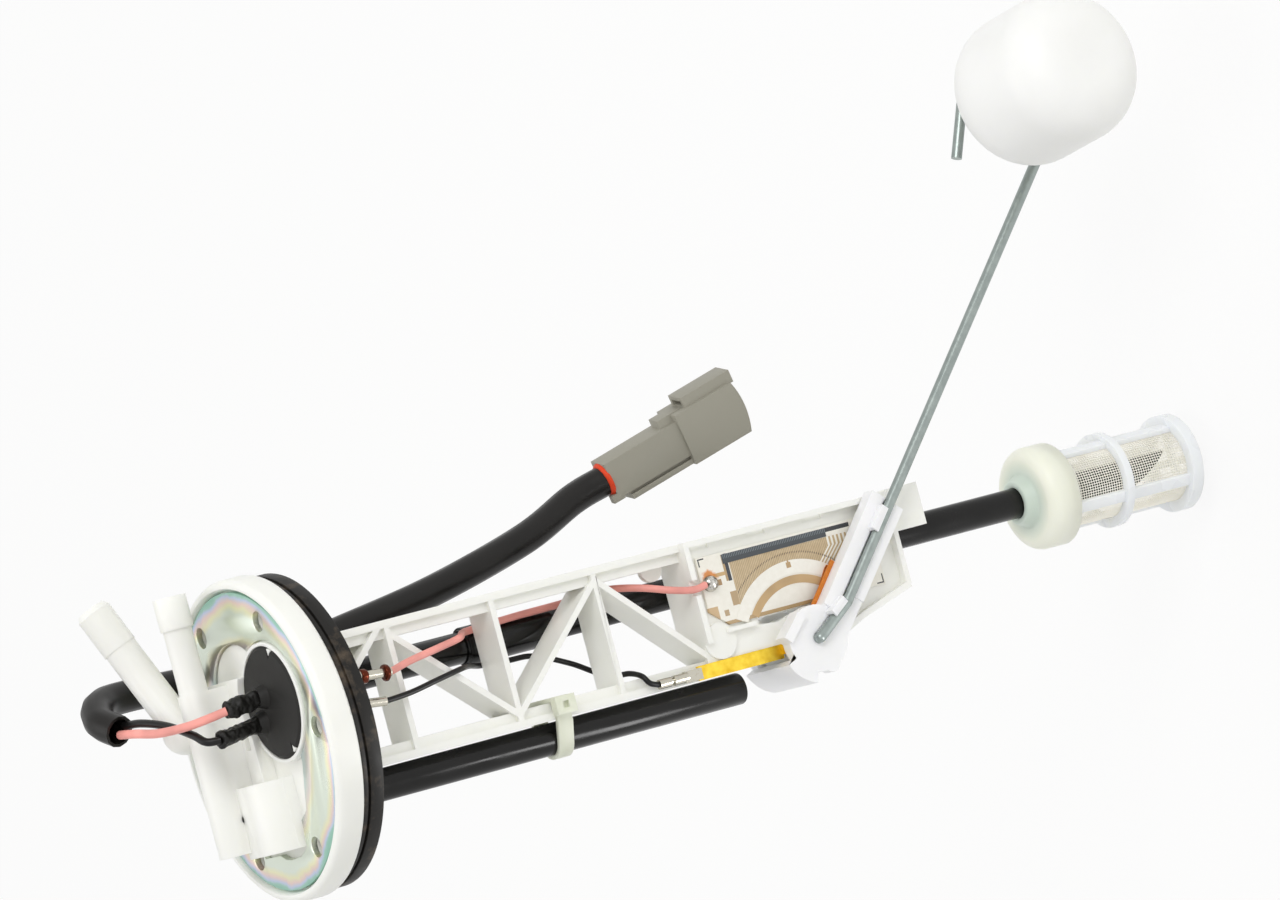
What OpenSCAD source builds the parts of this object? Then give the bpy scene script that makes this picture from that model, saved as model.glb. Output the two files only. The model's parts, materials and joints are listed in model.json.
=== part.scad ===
// Fuel tank sending unit: flange with two hose barbs, truss arm, resistor card level
// sender with swinging float arm, pick-up line with strainer, return hose and wired lead.
// +Z is the flange's outward normal, the arm hangs to -Z, the card faces -Y.
// The origin is the centre of the bolt circle on the gasket's underside.

/* [Flange] */
// outside diameter of the moulded flange
flange_d = 94.6; // [92:0.2:100]
// thickness of the moulded flange disc
flange_t = 5.5; // [4:0.5:7]
// thickness of the rubber gasket under the flange
gasket_t = 7; // [5:0.5:10]
// thickness of the plated clamp ring on the flange
ring_t = 2; // [1.5:0.5:3]
// diameter of the bolt circle
bolt_pcd = 76; // [74:1:79]
// diameter of the six bolt holes
bolt_hole_d = 6; // [4.5:0.5:7]

/* [Outlets] */
// bore of both hose barbs
barb_bore_d = 5; // [3.5:0.5:6]
// distance from the centre line to the end of the straight barb
barb_reach = 46.5; // [42:0.5:60]
// length of the elbow barb along its own axis
elbow_len = 44.5; // [36:0.5:55]
// tilt of the elbow barb above the flange
elbow_tilt = 18.8; // [14:0.1:24]

/* [Terminal boot] */
// diameter of the round rubber boot over the terminals
boot_d = 33; // [30:1:33.5]
// how far the boot stands above the flange disc
boot_rise = 3; // [2.5:0.5:6]

/* [Truss arm] */
// depth of the arm from its front to its back
truss_depth = 14; // [13:1:15]
// thickness of the diagonal and cross ribs
rib_t = 1.8; // [1.4:0.1:2.6]
// distance between two cross ribs
bay_pitch = 35; // [32:0.5:38]
// width of the two side rails
rail_w = 5.2; // [4.2:0.1:6]

/* [Level sender] */
// thickness of the resistor card
card_t = 1; // [0.8:0.1:1.4]
// diameter of the steel float wire
wire_d = 3.3; // [2.6:0.1:3.8]
// distance from the pivot to the bent end of the wire
arm_len = 187; // [150:1:215]
// angle of the arm below the horizontal when the tank is empty
rest_deg = 42.4; // [40:0.1:44]
// length of the moulded carrier along the arm
carrier_len = 49; // [44:1:58]

/* [Float] */
// diameter of the float
float_d = 47; // [38:1:54]
// length of the float barrel
float_len = 49; // [42:1:58]

/* [Pick-up and return] */
// outside diameter of the pick-up line
pipe_d = 9.4; // [8.6:0.1:10.4]
// outside diameter of the return hose
hose_d = 9.5; // [8.6:0.1:10.6]
// distance from the bolt plane to the bottom of the strainer
drop = 324; // [300:1:360]
// length of the strainer's open cage
cage_len = 41.5; // [36:0.5:50]
// diameter of the strainer's closed cup
cup_d = 32; // [30:1:36]

/* [Lead] */
// diameter of the lead's sleeve
sleeve_d = 9.5; // [8.6:0.1:10.5]
// length of the plug housing at the end of the lead
plug_len = 49; // [47:0.5:56]

/* [Hidden] */
$fn = 48;
eps = 0.01;
z_disc = gasket_t;
z_ring = gasket_t + flange_t;
z_top = z_ring + ring_t;
d_half = truss_depth / 2;
rail_top = 24.7;
rail_bot = -15.8;
post_0 = -31;
post_1 = post_0 - bay_pitch;
post_2 = post_1 - bay_pitch;
piv_x = -12.5;
piv_z = post_2 - 64;
wire_r = wire_d / 2;
pick_x = 11.5;
pick_y = 16;
ret_x = -21;
boot_x = 9.7;
boot_y = -16;
post_a = [12, -12.7];
post_b = [5, -8.7];
ring_d = flange_d - 7.4;
boot_top = z_ring + boot_rise;
wire_plane = 14.35 + wire_r;
line_perp = -3.3;
bar_top = 32;
cage_d = 26.7;
cup_top = -drop + cage_len + 16;
run_gap = 0.06;
card_z = 7 + card_t;
sweep = 82;
peg_rest = asin((3 + 2.2 + 0.05) / 15.5);
plug_0 = [49.8, 48, -143.8];
plug_u = unit([13.4, -8, -47]);
plug_t = unit([1, 0, 0] - plug_u[0] * plug_u);
plug_y = cross(plug_t, plug_u);

// the unit vector of v
function unit(v) = v / norm(v);
// a point on a smooth curve through the points p, at the parameter t from 0 to the last index
function spl(p, t) = let (
    n = len(p) - 1,
    i = min(floor(t), n - 1),
    u = t - i,
    a = i > 0 ? p[i - 1] : 2 * p[0] - p[1],
    b = p[i],
    c = p[i + 1],
    d = i + 2 <= n ? p[i + 2] : 2 * p[n] - p[n - 1]
  ) 0.5 * ((2 * b) + (c - a) * u + (2 * a - 5 * b + 4 * c - d) * u * u
    + (3 * b - a - 3 * c + d) * u * u * u);
// the rings' side vectors, each carried on from the one before
function sides_of(t, i, s) = i >= len(t) ? []
  : let (v = unit(s - (s * t[i]) * t[i])) concat([v], sides_of(t, i + 1, v));

// a round cord along the points p, made of rings
module cord(p, d, rings, n) {
  k = len(p) - 1;
  c = [for (i = [0 : rings]) spl(p, i * k / rings)];
  t = [for (i = [0 : rings]) unit(c[min(i + 1, rings)] - c[max(i - 1, 0)])];
  s = sides_of(t, 0, unit(cross(t[0], [0.31, 0.52, 0.79])));
  pts = [for (i = [0 : rings]) for (j = [0 : n - 1])
    c[i] + d / 2 * (cos(j * 360 / n) * s[i] + sin(j * 360 / n) * cross(t[i], s[i]))];
  fc = concat([[for (j = [0 : n - 1]) j]],
    [[for (j = [0 : n - 1]) rings * n + n - 1 - j]],
    [for (i = [0 : rings - 1]) for (j = [0 : n - 1])
      [i * n + j, (i + 1) * n + j, (i + 1) * n + (j + 1) % n, i * n + (j + 1) % n]]);
  polyhedron(points = pts, faces = fc, convexity = 6);
}

// a cylinder from a to b
module rod(a, b, r) {
  v = b - a;
  translate(a) rotate([0, acos(v[2] / norm(v)), atan2(v[1], v[0])])
    cylinder(r = r, h = norm(v));
}

// a cone from a to b
module taper(a, b, r1, r2) {
  v = b - a;
  translate(a) rotate([0, acos(v[2] / norm(v)), atan2(v[1], v[0])])
    cylinder(r1 = r1, r2 = r2, h = norm(v));
}

// a flat rib between two points of the X-Z plane, from y0 to y1
module rib(a, b, t, y0, y1) {
  v = b - a;
  translate([a[0], 0, a[1]]) rotate([90, 0, 0]) rotate([0, 0, atan2(v[1], v[0])])
    translate([0, -t / 2, -y1]) cube([norm(v), t, y1 - y0]);
}

// an outline in the X-Z plane drawn from y0 to y1
module slab(p, y0, y1) {
  translate([0, y1, 0]) rotate([90, 0, 0]) linear_extrude(height = y1 - y0) polygon(p);
}

// places children in the arm's own frame: x along, y across, z towards the front
module arm_frame() {
  translate([piv_x, 0, piv_z]) rotate([90, 0, 0]) rotate([0, 0, -rest_deg]) children();
}

// a cylinder with a rounded upper and lower edge
module rounded_disc(d, h, r) {
  rotate_extrude() union() {
    square([d / 2 - r, h]);
    translate([0, r]) square([d / 2, h - 2 * r]);
    translate([d / 2 - r, r]) circle(r);
    translate([d / 2 - r, h - r]) circle(r);
  }
}

// the bolt holes, as rods to cut
module bolt_holes(z0, z1) {
  for (k = [0 : 5])
    rotate([0, 0, 30 + 60 * k]) translate([bolt_pcd / 2, 0, z0])
      cylinder(d = bolt_hole_d, h = z1 - z0);
}

// the outline of the window in the clamp ring
module ring_window() {
  translate([boot_x, boot_y]) circle(boot_d / 2 + 1.6);
  translate([11.5, 3]) circle(17.5);
  translate([8, 20]) circle(9);
  polygon([[10, -23.8], [-8.6, -23.8], [-22, -18.5], [-24.4, -13.9], [-32.2, -13],
    [-34.6, -8], [-34.9, -1.7], [-34.4, 2], [-33, 5], [-33, 15], [-24.5, 16.3],
    [-21.5, 21], [10, 26]]);
}

elbow_dir = [cos(elbow_tilt) * cos(13), cos(elbow_tilt) * sin(13), sin(elbow_tilt)];
elbow_0 = [8, 20, z_ring + 14.3];
elbow_1 = elbow_0 + elbow_len * elbow_dir;

module flange_moulding() {
  color([0.93, 0.94, 0.94])
  difference() {
    union() {
      // disc with a rounded rim that stands a little above the clamp ring
      translate([0, 0, z_disc]) rotate_extrude() difference() {
        union() {
          square([flange_d / 2 - 2, flange_t + 2.8]);
          translate([0, 0.8]) square([flange_d / 2, flange_t]);
          translate([flange_d / 2 - 0.8, 0.8]) circle(0.8);
          translate([flange_d / 2 - 2, flange_t + 0.8]) circle(2);
          square([flange_d / 2 - 0.8, 3]);
        }
        polygon([[-1, flange_t], [ring_d / 2 + 0.3, flange_t], [ring_d / 2 + 1.3, flange_t + 3],
          [-1, flange_t + 3]]);
      }
      translate([0, 0, -1]) cylinder(d = 67, h = z_disc + 2);
      translate([0, 0, z_ring - eps]) linear_extrude(height = 1) intersection() {
        offset_window();
        circle(43);
      }
      // boss round the terminal boot
      translate([boot_x, boot_y, z_ring - 1]) cylinder(d = boot_d + 2, h = boot_rise + 0.5);
      // platform and ridge of the straight barb
      translate([-31, -2, z_ring - 1]) cube([50, 16, 5.5]);
      translate([-20.5, 12, z_ring - 1]) cube([39.5, 8, 5.5]);
      translate([-30, 5.4, z_ring]) cube([48, 9.2, 13]);
      rod([-30, 10, z_ring + 13], [18, 10, z_ring + 13], 4.9);
      rod([17, 10, z_ring + 13], [barb_reach, 10, z_ring + 13], 4.2);
      rod([barb_reach - 9.5, 10, z_ring + 13], [barb_reach, 10, z_ring + 13], 4.9);
      // valve housing over the return outlet
      translate([-32, 0, z_ring - 1]) rotate([90, 0, 90]) linear_extrude(height = 20.5)
        intersection() {
          translate([-13, 0]) square([21, 14]);
          union() {
            translate([-11.8, 0]) square([18, 4.5]);
            translate([-3, 3]) circle(8.8);
            translate([-3, 1]) square([10.5, 10.2]);
          }
        }
      // elbow barb over the pick-up outlet
      translate([8, 20, z_ring - 1]) cylinder(r = 6.4, h = 15.3);
      translate(elbow_0) sphere(r = 6.4);
      rod(elbow_0, elbow_1 - 12 * elbow_dir, 5);
      rod(elbow_1 - 14 * elbow_dir, elbow_1 - 1.5 * elbow_dir, 5.3);
      taper(elbow_1 - 1.7 * elbow_dir, elbow_1, 5.36, 4.3);
      // nipples under the flange
      translate([pick_x, pick_y, -12]) cylinder(r = pipe_d / 2 - 1.2, h = 12);
      translate([ret_x, 0, -12]) cylinder(r = hose_d / 2 - 1.5, h = 12);
    }
    bolt_holes(z_disc - 1, z_top + 1);
    // seat of the boot
    translate([boot_x, boot_y, z_ring]) cylinder(d = boot_d, h = 30);
    // hollow of the spigot, closed above
    difference() {
      translate([0, 0, -2]) cylinder(d = 61, h = z_disc + 2);
      translate([pick_x, pick_y, -3]) cylinder(r = pipe_d / 2 - 1.2, h = z_disc + 5);
      translate([ret_x, 0, -3]) cylinder(r = hose_d / 2 - 1.5, h = z_disc + 5);
    }
    // passages
    rod([barb_reach + 1, 10, z_ring + 13], [ret_x, 10, z_ring + 13], barb_bore_d / 2);
    rod([ret_x + 0.6, 10, z_ring + 13], [ret_x + 0.6, 0.4, z_ring], barb_bore_d / 2 - 0.2);
    rod([ret_x, 0, z_ring + 1.3], [ret_x, 0, -13], barb_bore_d / 2);
    rod(elbow_1 + elbow_dir, elbow_0 - 0.8 * elbow_dir, barb_bore_d / 2);
    rod([8, 20, z_ring + 15.4], [8, 20, z_disc + 2], barb_bore_d / 2);
    rod([8.6, 19.4, z_disc + 3.2], [pick_x, pick_y, z_disc - 3], barb_bore_d / 2 - 0.2);
    rod([pick_x, pick_y, z_disc - 0.8], [pick_x, pick_y, -13], barb_bore_d / 2);
    // small recess beside the boot, and the terminals' holes
    translate([-1.8, 0.6, z_ring + 2]) cube([4.6, 3, 5]);
    translate([post_a[0], post_a[1], z_disc - 2]) cylinder(r = 1.25, h = 10);
    translate([post_b[0], post_b[1], z_disc - 2]) cylinder(r = 1.25, h = 10);
  }
}

// the window's outline, a little smaller, that centres the ring on the flange
module offset_window() {
  translate([boot_x, boot_y]) circle(boot_d / 2 + 1.2);
  translate([11.5, 3]) circle(17);
  translate([8, 20]) circle(8.6);
}

module steel_ring() {
  color([0.78, 0.79, 0.72])
  difference() {
    translate([0, 0, z_ring]) cylinder(d = ring_d, h = ring_t);
    translate([0, 0, z_ring - 1]) linear_extrude(height = ring_t + 2) ring_window();
    bolt_holes(z_ring - 1, z_top + 1);
  }
}

module gasket() {
  color([0.09, 0.09, 0.1])
  difference() {
    union() {
      cylinder(d = flange_d - 2.4, h = gasket_t * 0.62);
      cylinder(d = flange_d - 4.6, h = gasket_t - 0.6);
      translate([0, 0, gasket_t * 0.7]) cylinder(d = flange_d - 3, h = gasket_t * 0.3);
    }
    translate([0, 0, -1]) cylinder(d = 67.1, h = gasket_t + 2);
    bolt_holes(-1, gasket_t + 1);
  }
}

module terminal_boot() {
  color([0.12, 0.12, 0.13])
  difference() {
    union() {
      translate([boot_x, boot_y, z_ring]) cylinder(d = boot_d - 0.2, h = boot_rise - 1);
      translate([boot_x, boot_y, boot_top - 1 - eps])
        cylinder(d1 = boot_d - 0.2, d2 = boot_d - 2.2, h = 1);
      translate([post_a[0], post_a[1], boot_top - 0.5]) cylinder(r1 = 3.8, r2 = 2.7, h = 3);
      translate([post_b[0], post_b[1], boot_top - 0.5]) cylinder(r1 = 3.8, r2 = 2.7, h = 3);
    }
    // two V notches at the rim
    for (a = [-24, 205])
      translate([boot_x, boot_y, z_ring - 1]) rotate([0, 0, a]) linear_extrude(height = 9)
        polygon([[13.2, 0], [boot_d / 2 + 1, -1.6], [boot_d / 2 + 1, 1.9]]);
    translate([post_a[0], post_a[1], z_ring - 1]) cylinder(r = 1.25, h = 6);
    translate([post_b[0], post_b[1], z_ring - 1]) cylinder(r = 1.25, h = 6);
    translate([post_a[0], post_a[1], z_ring + 4]) cylinder(r = 1.3, h = 6);
    translate([post_b[0], post_b[1], z_ring + 4]) cylinder(r = 1.2, h = 6);
  }
}

module signal_post() {
  color([0.75, 0.72, 0.6])
  union() {
    translate([post_a[0], post_a[1], z_disc - 6]) cylinder(r = 1.2, h = z_ring - z_disc + 10.4);
    translate([post_a[0], post_a[1], z_disc - 3.6]) cylinder(r = 2.6, h = 1.5);
  }
}

module ground_post() {
  color([0.75, 0.72, 0.6])
  union() {
    translate([post_b[0], post_b[1], z_disc - 6]) cylinder(r = 1.2, h = z_ring - z_disc + 10.4);
    translate([post_b[0], post_b[1], z_disc - 3.6]) cylinder(r = 2.6, h = 1.5);
  }
}

module pink_sleeve() {
  color([0.11, 0.1, 0.1])
  rod([post_a[0], post_a[1], boot_top + 1.8], [10.7, -13.7, boot_top + 12.8], 2.4);
}

module black_sleeve() {
  color([0.1, 0.1, 0.1])
  rod([post_b[0], post_b[1], boot_top + 1.8], [3.2, -11.1, boot_top + 15.6], 2.3);
}

// a crimp terminal that grips a post and a wire, drawn from its wire end upwards
module crimp(p, q, r) {
  rod(p, p + (q - p) * 0.3, r * 0.8);
  rod(p + (q - p) * 0.28, p + (q - p) * 0.36, r * 0.55);
  rod(p + (q - p) * 0.34, p + (q - p) * 0.6, r);
  rod(p + (q - p) * 0.58, p + (q - p) * 0.68, r * 0.55);
  rod(p + (q - p) * 0.66, q, r * 1.15);
}

module signal_terminal() {
  color([0.62, 0.5, 0.42])
  crimp([9.8, -14, -25], [post_a[0], post_a[1], z_disc - 4], 1.7);
}

module ground_terminal() {
  color([0.76, 0.76, 0.74])
  crimp([2, -10.4, -23], [post_b[0], post_b[1], z_disc - 4], 1.7);
}

module wire_pink_out() {
  color([0.95, 0.55, 0.5])
  cord([[10.7, -13.7, boot_top + 12.8], [9.8, -10.6, boot_top + 18.6],
    [9.3, -4, boot_top + 22], [9.6, 8, boot_top + 25], [11.2, 19, boot_top + 27],
    [12, 27.4, boot_top + 27.6]], 2.6, 13, 8);
}

module wire_black_out() {
  color([0.08, 0.08, 0.08])
  cord([[3.2, -11.1, boot_top + 15.6], [3.7, -9, boot_top + 19.2],
    [6.6, -4, boot_top + 20.4], [10.9, 8, boot_top + 21.6], [13.6, 19, boot_top + 24],
    [14.2, 27.4, boot_top + 25.6]], 2.4, 13, 8);
}

module wire_pink_in() {
  color([0.95, 0.55, 0.5])
  cord([[9.8, -14, -25], [11.4, -11.8, -33], [12.8, -9.8, -43], [14.2, -4.5, -54],
    [15.4, 5, -60.5], [15.8, 9.3, post_1], [16.4, 10.3, post_1 - 16],
    [16.6, 10, post_2 + 3], [17.2, 8.8, post_2 - 4.5], [17, 4, post_2 - 10.5],
    [15, -2.5, post_2 - 17], [12, -8, post_2 - 24], [10.6, -9.6, post_2 - 30],
    [11.1, -9.4, post_2 - 34.4]], 2.2, 22, 8);
}

module wire_black_in() {
  color([0.08, 0.08, 0.08])
  cord([[2, -10.4, -23], [2.6, -9.6, -32], [4.2, -9, -42], [5.4, -6.9, -50.5],
    [5.7, 2, post_1 + 7.5], [5, 8.8, post_1 + 0.5], [4.4, 9.6, post_1 - 9.5],
    [3.7, 9.6, post_1 - 18], [-1, 9.6, post_2 + 6], [-5.4, 8.8, post_2 - 1],
    [-7.9, 5, post_2 - 4.5], [-8.4, -2, post_2 - 6], [-10, -7.4, post_2 - 6.8],
    [-12.6, -9, post_2 - 8], [-13.75, -8.6, post_2 - 11]], 1.7, 24, 8);
}

module truss_arm() {
  color([0.95, 0.95, 0.94])
  difference() {
    union() {
      // root plate under the flange
      translate([rail_bot, -6, z_disc - 4.5]) cube([rail_top - rail_bot, 15, 4.5]);
      // two rails, each a full-depth flange with a recessed ledge
      slab([[rail_top - 2.3, z_disc - 4], [rail_top - 2.3, piv_z - 38.5],
        [rail_top, piv_z - 38.5], [rail_top, z_disc - 4]], -d_half, d_half);
      slab([[rail_top - rail_w, z_disc - 4], [rail_top - rail_w, piv_z - 38.5],
        [rail_top - 2, piv_z - 38.5], [rail_top - 2, z_disc - 4]], 1.8 - d_half, d_half - 1.8);
      slab([[rail_bot, z_disc - 4], [rail_bot, piv_z + 14.5],
        [rail_bot + 2.3, piv_z + 14.5], [rail_bot + 2.3, z_disc - 4]], -d_half, d_half);
      slab([[rail_bot + 2, z_disc - 4], [rail_bot + 2, piv_z + 9],
        [rail_bot + rail_w, piv_z + 9], [rail_bot + rail_w, z_disc - 4]],
        1.8 - d_half, d_half - 1.8);
      // cross ribs and diagonals
      for (z = [post_0, post_1, post_2])
        rib([rail_bot + 2, z], [rail_top - 2, z], rib_t, 0.1 - d_half, d_half - 0.1);
      rib([rail_top - 1.5, post_0 + 2.5], [-6.9, z_disc - 3.4], rib_t, 0.1 - d_half, d_half - 0.1);
      rib([rail_top - 4, post_0], [rail_bot + 4, post_1], rib_t, 0.1 - d_half, d_half - 0.1);
      rib([rail_bot + 4, post_1], [rail_top - 4, post_2], rib_t, 0.1 - d_half, d_half - 0.1);
      rib([rail_top - 4, post_2], [rail_bot + 4, post_2 - 33], rib_t, 0.1 - d_half, d_half - 0.1);
      // round tab under the top rail
      translate([rail_top - 5.2, 0, post_2 - 22.5]) rotate([90, 0, 0])
        cylinder(r = 3.6, h = 2, center = true);
      // floor of the card housing
      slab([[rail_top - 1, piv_z + 34], [rail_top - 1, piv_z - 38.5], [-3.8, piv_z - 38.5],
        [-9.1, piv_z - 19.6], [-12.3, piv_z - 15], [-16, piv_z], [rail_bot + 1, piv_z + 20],
        [rail_bot + 4, piv_z + 34]], -7, -5);
      // walls of the card housing
      slab([[rail_top - 1.8, piv_z + 34], [rail_top - 1.8, piv_z - 39],
        [rail_top, piv_z - 39], [rail_top, piv_z + 34]], -10, 0);
      slab([[rail_top, piv_z - 37.4], [rail_top, piv_z - 39], [-3.8, piv_z - 39],
        [-3.8, piv_z - 37.4]], -10, d_half);
      slab([[-4.8, piv_z - 39], [-10.4, piv_z - 19.9], [-13.3, piv_z - 13],
        [-11.6, piv_z - 12.6], [-8.8, piv_z - 19.2], [-3, piv_z - 38]], -10, d_half);
      slab([[-6, piv_z + 34], [-6, piv_z + 32.2], [rail_top - 1, piv_z + 32.2],
        [rail_top - 1, piv_z + 34]], -10, d_half);
      translate([-6, 0, piv_z + 28.6]) rotate([90, 0, 0])
        cylinder(r = 5.4, h = 16, center = true);
      // short rim beside the card's lower edge
      slab([[-4.2, piv_z + 26], [-4.2, piv_z + 16], [-2.9, piv_z + 16],
        [-2.9, piv_z + 26]], -9.2, -6);
      // end tab of the housing
      slab([[12.2, piv_z - 38], [rail_top + 0.5, piv_z - 38],
        [rail_top + 0.5, piv_z - 49.5], [12.2, piv_z - 49.5]], -10, -2);
      // bearing boss and its web
      translate([piv_x, d_half, piv_z]) rotate([90, 0, 0]) cylinder(r = 8.4, h = d_half + 10);
      // two stop pegs at the back
      arm_frame() {
        rotate([0, 0, -peg_rest]) translate([15.5, 0, -11.4]) cylinder(r = 2.2, h = 17.5);
        rotate([0, 0, sweep + peg_rest]) translate([15.5, 0, -11.4])
          cylinder(r = 2.2, h = 17.5);
      }
    }
    // pivot bore
    translate([piv_x, 20, piv_z]) rotate([90, 0, 0]) cylinder(r = wire_r + run_gap, h = 40);
    // notch for the signal wire
    translate([8.6, -11, piv_z + 31]) cube([4.6, 3.2, 5]);
    // opening in the floor below the card
    slab([[-2.4, piv_z + 14], [-2.4, piv_z - 1.5], [-3.6, piv_z - 1.5], [-3.6, piv_z + 3],
      [-4.8, piv_z + 7.5], [-4.2, piv_z + 14]], -8, -4);
    // snap windows in the top wall
    for (z = [24, 4, -16])
      translate([rail_top - 3, -9, piv_z + z]) cube([4, 3, 7]);
    // hollow of the left end
    translate([-6, 20, piv_z + 28.6]) rotate([90, 0, 0]) cylinder(r = 3.6, h = 24);
  }
}

module resistor_card() {
  color([0.93, 0.9, 0.84])
  slab([[-2, piv_z + 24], [3, piv_z + 30], [19.3, piv_z + 30], [19.3, piv_z - 31.5],
    [-2, piv_z - 31.5]], -7 - card_t, -7);
}

// a flat ring sector on the card, centred on the pivot
module track(r0, r1, a0, a1) {
  translate([piv_x, 0, piv_z]) rotate([90, 0, 0])
    rotate_extrude(angle = a1 - a0, start = a0) translate([r0, card_z]) square([r1 - r0, 0.12]);
}

module resistor_film() {
  color([0.2, 0.24, 0.27])
  slab([[15.8, piv_z + 21.3], [18.6, piv_z + 21.3], [18.6, piv_z - 15.5],
    [16, piv_z - 15.5]], -card_z - 0.12, -card_z);
}

module contact_comb() {
  color([0.9, 0.88, 0.8])
  track(20.4, 24.5, -50, 62);
}

module contact_arc() {
  color([0.72, 0.6, 0.46])
  track(17.4, 19.9, -50, 54);
}

module solder_joint() {
  color([0.75, 0.74, 0.7])
  intersection() {
    translate([11.1, -card_z, piv_z + 27.2]) sphere(r = 2.5);
    translate([5, -card_z - 4, piv_z + 20]) cube([12, 4, 14]);
  }
}

module ground_strip() {
  color([0.75, 0.6, 0.25])
  union() {
    slab([[-15.8, piv_z + 38.7], [-11.5, piv_z + 38.7], [-11.5, piv_z + 8.8],
      [-15.8, piv_z + 8.8]], -7.6, -7);
    slab([[-14.6, piv_z + 9.4], [-11.5, piv_z + 9.4], [-11.5, piv_z + 8.8],
      [-14.6, piv_z + 8.8]], -10.45, -7);
    slab([[-13.9, piv_z + 9.4], [-11.6, piv_z + 9.4], [-11.6, piv_z + wire_r + run_gap],
      [-13.9, piv_z + wire_r + run_gap]], -10.45, -10.05);
  }
}

module strip_terminal() {
  color([0.76, 0.76, 0.74])
  union() {
    translate([-15.4, -9.1, piv_z + 38]) cube([3.4, 1.5, 6]);
    rod([-13.75, -8.6, piv_z + 43], [-13.75, -8.6, piv_z + 48], 1.5);
    rod([-13.75, -8.6, piv_z + 47], [-13.75, -8.6, piv_z + 49.5], 0.9);
    rod([-13.75, -8.6, piv_z + 49], [-13.75, -8.6, piv_z + 53], 1.45);
  }
}

module arm_carrier() {
  color([0.9, 0.92, 0.96])
  arm_frame() difference() {
    union() {
      translate([0, 0, 10.6]) cylinder(r = 10, h = 4.1);
      rotate([0, 0, 239]) translate([8.6, 0, 10.6]) cylinder(r = 2.6, h = 4.1);
      // arm plate with its two rails
      translate([0, -8.5, 10.6]) cube([carrier_len, 11.7, 4.1]);
      translate([10, -1.3, 14]) cube([carrier_len - 10, 4.5, 1.8]);
      translate([17, -8.5, 14]) cube([carrier_len - 17, 3.4, 1.5]);
      // two snap clips over the wire
      rotate([0, 0, -13.3]) translate([7.6, wire_r + 0.1, 14]) cube([6, 1.4, 4.7]);
      rotate([0, 0, -13.3]) translate([7.6, 0.7, wire_plane + wire_r + 0.02])
        cube([6, 2.45, 0.9]);
      translate([37.5, line_perp + wire_r + 0.1, 14]) cube([8, 1.4, 4.7]);
      translate([37.5, line_perp + 0.7, wire_plane + wire_r + 0.02]) cube([8, 2.45, 0.9]);
      // stop bar on the hub
      translate([-6.4, 7.8, 10.6]) rotate([0, 0, -4]) cube([9.6, 2.9, 5.8]);
      // ring sector round the back of the bearing boss
      rotate([0, 0, 157]) rotate_extrude(angle = 48) polygon([[8, 10.6], [8, 14.7], [13.4, 14.7],
        [13.4, -11.3], [8, -11.3], [8, -7.7], [10.4, -7.7], [10.4, 10.6]]);
      // rear cheek with its stop finger
      translate([0, 0, -11.4]) cylinder(r = 10.5, h = 3.8);
      translate([8, -3, -11.4]) cube([10, 6, 3.8]);
    }
    translate([0, 0, -12]) cylinder(r = wire_r + 0.01, h = 30);
    // groove of the wire
    rotate([0, 0, -13.3]) translate([0, -1.75, 14.34]) cube([14.2, 3.5, 3.33]);
    translate([13, line_perp - 1.75, 14.34]) cube([carrier_len, 3.5, 3.33]);
  }
}

module wiper_contact() {
  color([0.8, 0.45, 0.25])
  arm_frame() union() {
    translate([7, 1.2, 10.2]) cube([18, 3.4, 0.4]);
    for (p = [[18.4, 1.4], [22.2, 3.2]])
      translate([0, p[1] + 1.2, 0]) rotate([90, 0, 0]) linear_extrude(height = 1.2)
        polygon([[p[0] - 8.5, 10.3], [p[0] - 7.3, 10.3], [p[0] + 0.6, card_z + 0.55],
          [p[0] + 1.4, card_z + 0.7], [p[0] + 1.4, card_z + 0.45],
          [p[0] + 0.5, card_z + 0.16], [p[0] - 0.1, card_z + 0.16]]);
  }
}

module float_wire() {
  color([0.45, 0.48, 0.47])
  arm_frame() union() {
    translate([0, 0, -14.2]) cylinder(r = wire_r, h = wire_plane + 14.2);
    translate([0, 0, wire_plane]) sphere(r = wire_r);
    rod([0, 0, wire_plane], [14, line_perp, wire_plane], wire_r);
    translate([14, line_perp, wire_plane]) sphere(r = wire_r);
    rod([14, line_perp, wire_plane], [arm_len - 5, line_perp, wire_plane], wire_r);
    translate([arm_len - 5, line_perp + 5, wire_plane]) rotate([0, 0, -90])
      rotate_extrude(angle = 90) translate([5, 0]) circle(wire_r);
    rod([arm_len, line_perp + 5, wire_plane], [arm_len, bar_top - 5.6, wire_plane], wire_r);
    translate([arm_len - 4, bar_top - 5.6, wire_plane])
      rotate_extrude(angle = 108.9) translate([4, 0]) circle(wire_r);
    translate([arm_len - 4, bar_top - 5.6, wire_plane]) rotate([0, 0, 108.9])
      translate([4, 0, 0]) rotate([-90, 0, 0]) cylinder(r = wire_r, h = 27.7);
  }
}

module shaft_clip() {
  color([0.6, 0.62, 0.62])
  arm_frame() translate([0, 0, -12.3]) difference() {
    cylinder(r = 4.2, h = 0.8);
    translate([0, 0, -1]) cylinder(r = wire_r + 0.01, h = 3);
  }
}

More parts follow.
